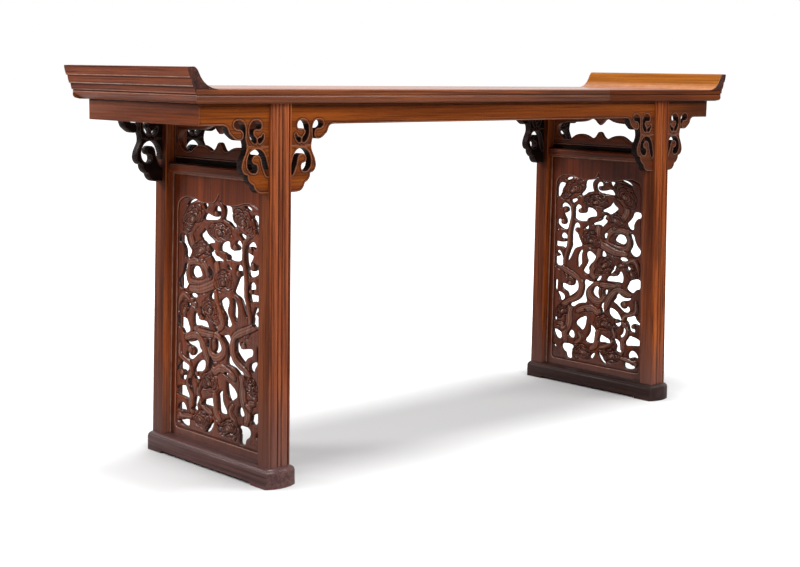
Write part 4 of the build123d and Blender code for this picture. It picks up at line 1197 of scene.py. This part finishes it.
def paint_shade_inside(board, end):
    """Darker finish on a board's right ears, and near black on its sawn and hidden faces: painted
    shade.
    """
    low = APRON_BOTTOM + MM

    def hidden(face):
        sawn = abs(face.normal.y) < 0.3 and abs(face.center.y) > APRON_BACK + MM
        lower_edge = face.center.z < low and abs(face.center.x) < APRON_END - MM
        return end * face.normal.y < -0.5 or (sawn and lower_edge)

    refinish(board, shaded_ear_finish,
             lambda face: face.center.x > LEG_STATION / 2 and face.center.z < low)
    refinish(board, inside_shade_finish, hidden)


master = board_piece("apron", apron_loops, BEAD_RINGS, 7, apron_face)
tidy_faces(master)
for end_name, end in ENDS.items():
    apron = copy_of(master, f"long_apron_{end_name}")
    stand(apron, (1, 0, 0), (0, 0, 1), (0, -1, 0), (0, end * BOARD_MIDDLE, 0))
    for side in SIDES.values():
        saw(apron, (side * APRON_END, end * BOARD_FACE, 0), (side, -end, 0))
    soften(apron, 40)
    fit(apron, apron_finish, f"apron_{end_name}")
    paint_shade_inside(apron, end)
put_away(master)

SHADOW_DROPS = (3, 7, 12, 18, 26)  # mm under the top, where the steps of the painted shadow are set


def shade_under_top(board):
    """Painted shadow along a board's upper edge, under the top, fading downwards."""
    for drop in SHADOW_DROPS:
        saw(board, (0, 0, UNDERSIDE - drop * MM), (0, 0, 1), parting=False)
    reach = SHADOW_DROPS[-1] * MM
    values = [0.75 * max(0, 1 - (UNDERSIDE - vertex.co.z) / reach) ** 1.6
              for vertex in board.data.vertices]
    attribute = board.data.attributes.new("painted_shade", "FLOAT", "POINT")
    attribute.data.foreach_set("value", values)


for side_name, side in SIDES.items():
    low, high = sorted((side * APRON_END, side * (APRON_END - APRON_THICKNESS)))
    apron = box_blank((low, -BOARD_FACE, APRON_BOTTOM), (high, BOARD_FACE, UNDERSIDE),
                      f"end_apron_{side_name}")
    ease_edges(apron, 0.8 * MM, 2, lambda middle, along: abs(along.y) > 0.9)
    for end in ENDS.values():
        saw(apron, (side * APRON_END, end * BOARD_FACE, 0), (-side, end, 0))
    shade_under_top(apron)
    soften(apron)
    fit(apron, end_apron_finish, f"apron_{side_name}")

TONGUE = 8  # mm that a spandrel goes into the leg's slot
line = stepped(joined_runs(SPANDREL_RUNS)).tolist()
line += [(-TONGUE, line[-1][1]), (-TONGUE, line[0][1])]
loops = [from_leg(line, 0, 1), sampled(from_leg(eased(LOWER_EYE), 0, 1))]
master = board_piece("spandrel", loops, BEAD_RINGS, 5, beaded_face(BOARD_DEPTH / 2 / MM))
tidy_faces(master)
soften(master, 40)
for side_name, side in SIDES.items():
    for end_name, end in ENDS.items():
        for place, hand in (("inner", -side), ("outer", side)):
            name = f"spandrel_{side_name}_{end_name}_{place}"
            piece = copy_of(master, f"carved_{name}")
            stand(piece, (hand, 0, 0), (0, 0, 1), (0, -1, 0),
                  (leg_edge(side, hand) * MM, end * BOARD_MIDDLE, 0))
            fit(piece, apron_finish, name)
            paint_shade_inside(piece, end)
put_away(master)


# --- legs -------------------------------------------------------------------------
# Face of a leg, across its width: (member, its width in mm), then how far the crown of
# each member stands out and how many steps draw it.
LEG_MEMBERS = [("bead", 4), ("groove", 1.8), ("swell", 16.7), ("groove", 1.8), ("bead", 8.4),
               ("groove", 1.8), ("swell", 16.7), ("groove", 1.8), ("bead", 4)]
LEG_CROWNS = {"bead": 2.2, "groove": -1.6, "swell": 2.6}
LEG_STEPS = {"bead": 8, "groove": 2, "swell": 12}
LEG_SUNK = 2.6  # mm, from a leg's furthest face to where its members meet
LEG_TENON = 3 * MM  # how far a leg goes into its foot
CHEEK_AREA = 0.002  # square metres; only the flat cheeks of a leg are larger


def leg_face():
    """Moulded face of a leg, as (across, sunk below the face)."""
    line = []
    across = -LEG_HALF / MM
    for member, width in LEG_MEMBERS:
        power = 1 if member == "groove" else 0.5
        for index in range(LEG_STEPS[member]):
            turn = index / LEG_STEPS[member]
            crown = LEG_CROWNS[member] * (1 - (2 * turn - 1) ** 2) ** power
            line.append((across + width * turn, LEG_SUNK - crown))
        across += width
    line.append((across, LEG_SUNK))
    return line


def leg_section(side, end):
    """Section of a leg under the top: its moulded face, then its cheeks and back."""
    station = side * frame_station(UNDERSIDE)
    front = leg_front(UNDERSIDE)
    back = end * (front - LEG_DEPTH)
    face = [(station + across * MM, end * (front - sunk * MM), UNDERSIDE)
            for across, sunk in leg_face()]
    eased_by = 1.2 * MM
    cheek = back + end * eased_by
    right = station + LEG_HALF
    left = station - LEG_HALF
    return face + [(right, cheek, UNDERSIDE), (right - eased_by, back, UNDERSIDE),
                   (left + eased_by, back, UNDERSIDE), (left, cheek, UNDERSIDE)]


for side_name, side in SIDES.items():
    for end_name, end in ENDS.items():
        share = (LEG_HEIGHT + LEG_TENON) / LEG_HEIGHT
        sweep = (side * SPLAY_ALONG * share, end * SPLAY_ACROSS * share, -LEG_HEIGHT - LEG_TENON)
        leg = blank(leg_section(side, end), sweep, f"moulded_leg_{side_name}_{end_name}")
        tidy_faces(leg)

        def in_a_groove(face):
            lean_back = SPLAY_ACROSS * (UNDERSIDE - face.center.z) / LEG_HEIGHT
            sunk = leg_front(UNDERSIDE) + lean_back - end * face.center.y
            return (LEG_SUNK + 0.05) * MM < sunk < (LEG_SUNK + 1.1) * MM

        # painted shade in the grooves
        mark(leg, "painted_shade", 0.9, in_a_groove)
        soften(leg, 25)
        fit(leg, leg_finishes[side_name], f"leg_{side_name}_{end_name}")
        # painted shade on the flat cheeks
        refinish(leg, leg_cheek_shade_finishes[end_name],
                 lambda face: abs(face.normal.x) > 0.9 and face.area > CHEEK_AREA)


# --- end frames -------------------------------------------------------------------
def end_frame_axes(side):
    """Across, up and outward in an end frame's leaning plane, and its origin at the foot."""
    across = Vector((0, side, 0))
    up = Vector((-side * sin(LEAN), 0, cos(LEAN)))
    outward = Vector((side * cos(LEAN), 0, sin(LEAN)))
    return across, up, outward, Vector((side * frame_station(0), 0, 0))


INSERT_SUNK = 4 * MM  # how far the insert goes into the window board
RAIL_ROUND = 5 * MM
RAIL_BEAD_HALF = 10 * MM
RAIL_BEAD_ROUND = 1.8 * MM


for side_name, side in SIDES.items():
    axes = end_frame_axes(side)
    reach = leg_inner(RAIL_TOP)
    rail_foot = RAIL_FLOOR + END_RAIL_BEAD
    rail = box_blank((-reach, rail_foot, -END_RAIL_HALF), (reach, RAIL_TOP, END_RAIL_HALF), "rail")
    ease_edges(rail, RAIL_ROUND, 4, lambda middle, along: abs(along.x) > 0.9)
    bead = box_blank((-leg_inner(RAIL_FLOOR), RAIL_FLOOR, -RAIL_BEAD_HALF),
                     (leg_inner(RAIL_FLOOR), rail_foot + MM, RAIL_BEAD_HALF), "bead")
    ease_edges(bead, RAIL_BEAD_ROUND, 3, lambda middle, along: abs(along.x) > 0.9)
    # painted highlight along the rail's bead
    mark(bead, "painted_sheen", 0.55)
    rail = glue([rail, bead], f"cross_rail_{side_name}")
    stand(rail, *axes)
    soften(rail, 30)
    fit(rail, cross_finish, f"end_rail_{side_name}")

    right = [(across, RAIL_TOP / MM + up) for across, up in joined_runs(WINDOW_RUNS)]
    window = right + [(-across, up) for across, up in right[1:-1]][::-1]
    foot = RAIL_TOP + BOARD_REVEAL
    head = RAIL_INNER + 20 * MM
    corners = [(-leg_inner(foot), foot), (leg_inner(foot), foot), (head, UNDERSIDE),
               (-head, UNDERSIDE)]
    outline = []
    for start, stop in zip(corners, corners[1:] + corners[:1]):
        outline += (stepped([start, stop], 8 * MM)[:-1] / MM).tolist()
    board = board_piece("board", [outline, sampled(window)], BEAD_RINGS, 6,
                        beaded_face(BOARD_HALF / MM))
    insert = box_blank((-reach, RAIL_TOP - MM, -INSERT_HALF),
                       (reach, foot + INSERT_SUNK, INSERT_HALF), "insert")
    carved_faces = len(board.data.polygons)
    board = glue([board, insert], f"shaped_window_board_{side_name}")
    stand(board, *axes)
    soften(board, 40)
    fit(board, cross_finish, f"window_board_{side_name}")
    # painted shade: the recessed insert under the board is near black
    refinish(board, inside_shade_finish, lambda face: face.index >= carved_faces)


# --- carved panels ----------------------------------------------------------------
GRID = 2.05  # mm between the carving's points
HEAD_GRID = 1.5  # mm between them on the mushroom heads
OUTLINE_STEP = 2.0  # mm between the points of the piercings
HOLE_MARGIN = 0.7  # mm that each piercing is drawn in by
RIM_ROUND = 2.6  # mm, rounding of the pierced edges
GROUND = 3.8  # mm, height of the carving at a pierced edge
ROUNDING = 10.0  # mm from an edge to where the ground is level
FLOW = 5.2  # mm between the lines that follow the piercings
BORDER_RIM = 2.2  # mm, rounding of the border's opening
LOWEST, HIGHEST = 1.6, 8.8  # mm from the panel's middle plane
# Heights of the motifs, in mm: where each lies, then how far its parts rise or sink
GROOVE = 3.2
STEM, STEM_CROWN, FLUTE = 5.0, 3.0, 0.6
HEAD, HEAD_DOME = 3.8, 1.6
PETAL, PETAL_TIER, PETAL_DOME, PETAL_FOLD = 4.4, 0.6, 3.2, 1.3
CURL, CURL_DOME, SPIRAL = 5.4, 2.8, 0.6
PETAL_ARC = (-35, 250)  # degrees, where the petals begin and how far round they go


def domed(out):
    """Height of a round hump, from one in its middle to nothing at its edge."""
    return np.sqrt(np.clip(1 - out**2, 0, 1))


def carved_heights(points, gaps):
    """Height of the carving at each point, its painted shade and its painted highlight."""
    rise = 1 - np.clip(gaps / ROUNDING, 0, 1)
    flow = np.cos(2 * pi * (gaps - 1.5) / FLOW) * np.clip(gaps / 3, 0, 1)
    height = GROUND + 2.0 * np.sqrt(1 - rise**2) + 0.5 * flow
    # painted shade in the valleys between the lines that follow the piercings
    shade = np.clip(-flow - 0.4, 0, 1) * 0.7

    def lay(inside, raised, lines, outside, width=2.0):
        """Lay a motif over what is there, with a groove cut round it."""
        groove = np.exp(-(np.maximum(outside, 0) / width) ** 2)
        near = (~inside) & (outside < 6)
        height[near] -= GROOVE * groove[near]
        # painted shade in the groove round the motif
        shade[near] = np.maximum(shade[near], groove[near])
        height[inside] = (0.2 * height + 0.8 * raised)[inside]
        shade[inside] = np.maximum(0, lines)[inside]

    for width, flutes, route in STEMS:
        line = np.array(eased(route, closed=False))
        distance, share, lateral = line_distance(points, line)
        half = width / 2 * (0.62 + 0.38 * np.sin(pi * np.clip(share, 0.04, 0.96)) ** 0.6)
        turn = np.clip(distance / half, 0, 1)
        flute = np.cos(2 * pi * flutes * lateral / (2 * half)) * (turn < 0.9)
        lay(distance < half, STEM + STEM_CROWN * np.sqrt(1 - turn**2) + FLUTE * flute,
            -flute - 0.45, distance - half)
    for across, level, wide, tall, tilt, tiers in MUSHROOM_HEADS:
        angle = radians(tilt)
        offset = points - (across, level)
        x = (offset[:, 0] * cos(angle) + offset[:, 1] * sin(angle)) / wide
        y = (-offset[:, 0] * sin(angle) + offset[:, 1] * cos(angle)) / tall
        size = (wide + tall) / 2
        out = np.hypot(x, y) / (0.93 + 0.07 * np.cos(3 * np.arctan2(y, x) + pi / 2))
        lay(out < 1, HEAD + HEAD_DOME * domed(out), 0 * out, (out - 1) * size)
        for tier, (reach, share, petals) in enumerate(PETAL_TIERS[:tiers]):
            for petal in range(petals):
                turn = radians(PETAL_ARC[0] + PETAL_ARC[1] * (petal + 0.5) / petals)
                out = np.hypot(x - reach * cos(turn), y - reach * sin(turn) + 0.14) / share
                fold = np.exp(-((out - 0.60) / 0.14) ** 2)
                raised = PETAL + PETAL_TIER * tier + PETAL_DOME * domed(out) - PETAL_FOLD * fold
                lay(out < 1, raised, 0.8 * fold, (out - 1) * share * size, 1.7)
    for across, level, radius in CURLS:
        x, y = (points - (across, level)).T
        out = np.hypot(x, y)
        spiral = np.cos(np.arctan2(y, x) + 2 * pi * out / radius * 1.5) * (out > 0.25 * radius)
        lay(out < radius, CURL + CURL_DOME * domed(out / radius) + SPIRAL * spiral,
            (-spiral - 0.4) * 1.2, out - radius)
    near = np.clip(gaps / RIM_ROUND, 0, 1)
    height -= (RIM_ROUND * 0.75) * (1 - np.sqrt(1 - (1 - near) ** 2))
    # painted shade along the pierced edges
    shade = np.maximum(shade, 0.9 * np.clip(1 - gaps / 2.2, 0, 1) ** 1.5)
    # painted highlight on the highest crests
    painted_highlight = np.clip((height - 6.4) / 2.2, 0, 1) * 0.56
    return np.clip(height, LOWEST, HIGHEST), np.clip(shade, 0, 1), painted_highlight * (shade < 0.3)


def on_heads(points):
    """Which points lie on the mushroom heads."""
    inside = np.zeros(len(points), dtype=bool)
    for across, level, wide, tall, tilt, _ in MUSHROOM_HEADS:
        turned = (points - (across, level)) @ np.array(Matrix.Rotation(radians(tilt), 2))
        inside |= np.hypot(turned[:, 0] / wide, turned[:, 1] / tall) < 1.08
    return inside


def drawn_in(loop, margin):
    """A closed outline moved towards its own inside."""
    inside = polygon_side(beside(loop, NUDGE), loop).mean() > 0.5
    return beside(loop, margin if inside else -margin)


def edge_bead(hand, face):
    """Thin bead where a panel meets a leg, on one of its faces."""
    foot = leg_inner(FOOT_TOP) - 2 * MM
    head = leg_inner(PANEL_TOP) - 2 * MM
    section = [(hand * foot + 2 * MM * cos(turn), FOOT_TOP,
                face * PANEL_HALF + 2.4 * MM * sin(turn))
               for turn in (pi * index / 5 for index in range(10))]
    bead = blank(section, (hand * (head - foot), PANEL_TOP - FOOT_TOP, 0), "bead")
    # painted highlight along the bead
    mark(bead, "painted_sheen", 0.5)
    return bead


def panel_border_outline():
    """Outside of the panel's border, let into the legs and the foot."""
    foot = FOOT_TOP - 2 * MM
    low, high = (leg_inner(level) + 2 * MM for level in (foot, PANEL_TOP))
    return [(-low, foot), (low, foot), (high, PANEL_TOP), (-high, PANEL_TOP)]


right = joined_runs(BORDER_RUNS)
opening = right + [(-across, up) for across, up in right[1:-1]][::-1]
loops = [sampled(opening, OUTLINE_STEP)]
loops += [drawn_in(sampled(eased(hole), OUTLINE_STEP), HOLE_MARGIN) for hole in PIERCINGS]
carving = board_piece("carving", loops, (0.7, 1.7), GRID, carved_heights, (HEAD_GRID, on_heads))
opening = [(across * MM, up * MM) for across, up in opening]
border = flat_curve("border", [panel_border_outline(), opening], PANEL_HALF, BORDER_RIM * MM, 4)
# painted highlight on the rounded lip of the opening
mark(border, "painted_sheen", 0.55, lambda face: 0.45 < abs(face.normal.z) < 0.97)
beads = [edge_bead(hand, face) for hand in (-1, 1) for face in (-1, 1)]
master = glue([border, carving] + beads, "carved_panel")
for side_name, side in SIDES.items():
    panel = copy_of(master, f"carved_panel_{side_name}")
    stand(panel, *end_frame_axes(side))
    soften(panel, 60)
    fit(panel, panel_finishes[side_name], f"end_panel_{side_name}")
put_away(master)


# --- feet -------------------------------------------------------------------------
ARCH_HEIGHT = 6 * MM
ARCH_HALF = 175.2 * MM
ARCH_PAST = 100 * MM  # how far the arch's cutter reaches to each side of a foot's middle
FOOT_CORNER = leg_front(FOOT_TOP) + 2 * MM
FOOT_ROUND = 14 * MM
CORNER_ROUND = 2 * MM


def foot_plan():
    """Plan of a foot, its two ends bowed."""
    bow = FOOT_REACH - FOOT_CORNER
    radius = (FOOT_HALF**2 + bow**2) / (2 * bow)
    half_turn = np.degrees(np.arcsin(FOOT_HALF / radius))
    far = arc((0, FOOT_REACH - radius), radius, 90 - half_turn, 90 + half_turn, 8)
    near = arc((0, radius - FOOT_REACH), radius, 270 - half_turn, 270 + half_turn, 8)
    return far + near


for side_name, side in SIDES.items():
    section = [(side * FOOT_MIDDLE + across, along, 0) for across, along in foot_plan()]
    foot = blank(section, (0, 0, FOOT_TOP), f"shoe_foot_{side_name}")
    arch = box_blank((side * FOOT_MIDDLE - ARCH_PAST, -ARCH_HALF, -20 * MM),
                     (side * FOOT_MIDDLE + ARCH_PAST, ARCH_HALF, ARCH_HEIGHT), "arch")
    ease_edges(arch, ARCH_HEIGHT, 5, lambda middle, along: abs(along.x) > 0.9 and middle.z > 0)
    cut_out(foot, arch)
    tidy_faces(foot)
    ease_edges(foot, FOOT_ROUND, 8,
               lambda middle, along: middle.z > FOOT_TOP - MM and abs(along.z) < 0.1)
    ease_edges(foot, CORNER_ROUND, 3,
               lambda middle, along: abs(along.z) > 0.9
               and abs(abs(middle.y) - FOOT_CORNER) < MM)
    soften(foot, 35)
    fit(foot, foot_finishes[side_name], f"foot_{side_name}")


# --- nodes kept from the model ------------------------------------------------------
def dress(name, material):
    """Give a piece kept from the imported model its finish."""
    piece = bpy.data.objects[name]
    if not piece.material_slots:
        piece.data.materials.append(material)
    for slot in piece.material_slots:
        slot.material = material


dress("top_panel", surface_finish)
for index in range(1, 6):
    dress(f"top_batten_{index}", cross_finish)


# --- studio -----------------------------------------------------------------------
STUDIO_FRONT = 0.05
STUDIO_BACK = 0.28
GLOSS_FRONT = 0.06
NEAR_LIFT = 0.20
CAMERA_PLACE = (-2.59253, -2.65338, 0.90336)
CAMERA_LENS = 65.68
CAMERA_DIP, CAMERA_HEADING, CAMERA_ROLL = 8.33, -43.09, 0.84  # degrees
# Lamps: (place, target, size, power)
LAMPS = {
    "overhead": ((0.0, -0.1, 6.5), (0, 0, 0.4), 2.4, 535),
    "left_rear_box": ((-3.6, 2.8, 3.0), (-0.6, 0, 0.5), 1.4, 130),
    "right_front_box": ((2.9, -3.3, 3.8), (0, 0, 0.5), 2.2, 70),
    "front_fill": ((-1.5, -4.8, 3.1), (0, 0, 0.6), 2.0, 150),
}


def studio_floor():
    """Pale paper floor, lifted to white away from the table but not in its shade."""
    deselect()
    bpy.ops.mesh.primitive_plane_add(size=60, location=(0, 0, 0))
    floor = bpy.context.object
    floor.name = "studio_floor"
    material, tree, surface, place = new_material("studio_paper")
    tooth = noise(tree, place, 400, 2)
    paper = blend(tree, tooth, (0.34, 0.34, 0.34, 1), (0.36, 0.36, 0.36, 1))
    seen = blend(tree, tooth, (0.63, 0.63, 0.63, 1), (0.65, 0.65, 0.65, 1))
    drawn_by_camera = node(tree, "ShaderNodeLightPath").outputs["Is Camera Ray"]
    place = mapped(tree, place, scale=(1.35, 0.7, 1.0))
    away = node(tree, "ShaderNodeVectorMath", {0: place}, operation="LENGTH")
    far = spread(tree, away.outputs["Value"], 0.8, 2.0, NEAR_LIFT, 1.0)
    open_sky = node(tree, "ShaderNodeAmbientOcclusion", {"Distance": 0.12}, samples=8)
    lift = calc(tree, "MULTIPLY", calc(tree, "POWER", open_sky.outputs["AO"], 1.5), far)
    for label, value in (("Base Color", blend(tree, drawn_by_camera, paper, seen)),
                         ("Emission Strength", calc(tree, "MULTIPLY", drawn_by_camera, lift)),
                         ("Emission Color", (1, 1, 1, 1)), ("Roughness", 0.9),
                         ("Specular IOR Level", 0.0)):
        feed(tree, surface[label], value)
    floor.data.materials.append(material)


def studio_light():
    """White backdrop, with a brighter studio behind the table than in front of it."""
    world = bpy.data.worlds.new("studio")
    bpy.context.scene.world = world
    world.use_nodes = True
    tree = world.node_tree
    tree.nodes.clear()
    path = node(tree, "ShaderNodeLightPath").outputs
    generated = node(tree, "ShaderNodeTexCoord").outputs["Generated"]
    aim = node(tree, "ShaderNodeSeparateXYZ", {0: generated}).outputs
    behind = calc(tree, "ADD", calc(tree, "MULTIPLY", aim["X"], 0.7),
                  calc(tree, "MULTIPLY", aim["Y"], 0.7))
    for_light = spread(tree, behind, -0.6, 0.6, STUDIO_FRONT, STUDIO_BACK)
    for_gloss = spread(tree, behind, 0.05, 0.6, GLOSS_FRONT, 1.0)
    level = node(tree, "ShaderNodeMix", {0: path["Is Glossy Ray"], 2: for_light, 3: for_gloss},
                 data_type="FLOAT")
    plain, bright = (
        node(tree, "ShaderNodeBackground", {"Color": (1, 1, 1, 1), "Strength": strength})
        for strength in (level.outputs[0], 1.0)
    )
    mix = node(tree, "ShaderNodeMixShader", {
        0: path["Is Camera Ray"], 1: plain.outputs[0], 2: bright.outputs[0],
    })
    node(tree, "ShaderNodeOutputWorld", {"Surface": mix.outputs[0]})


def lamp(name, place, target, size, power):
    """Round softbox that looks at its target."""
    deselect()
    bpy.ops.object.light_add(type="AREA", location=place)
    light = bpy.context.object
    light.name = name
    light.data.shape = "DISK"
    light.data.size = size
    light.data.energy = power
    aim = Vector(target) - Vector(place)
    light.rotation_euler = aim.to_track_quat("-Z", "Y").to_euler()


def studio_camera():
    """Camera from the table's front left, looking a little down."""
    data = bpy.data.cameras.new("camera")
    camera = bpy.data.objects.new("camera", data)
    bpy.context.collection.objects.link(camera)
    data.lens = CAMERA_LENS
    data.clip_end = 200
    turn = Euler((radians(90 - CAMERA_DIP), 0, radians(CAMERA_HEADING))).to_matrix()
    turn = turn @ Matrix.Rotation(radians(CAMERA_ROLL), 3, "Z")
    camera.matrix_world = Matrix.Translation(CAMERA_PLACE) @ turn.to_4x4()
    bpy.context.scene.camera = camera


studio_floor()
studio_light()
for name, settings in LAMPS.items():
    lamp(name, *settings)
studio_camera()
bpy.context.scene.view_settings.view_transform = "Standard"
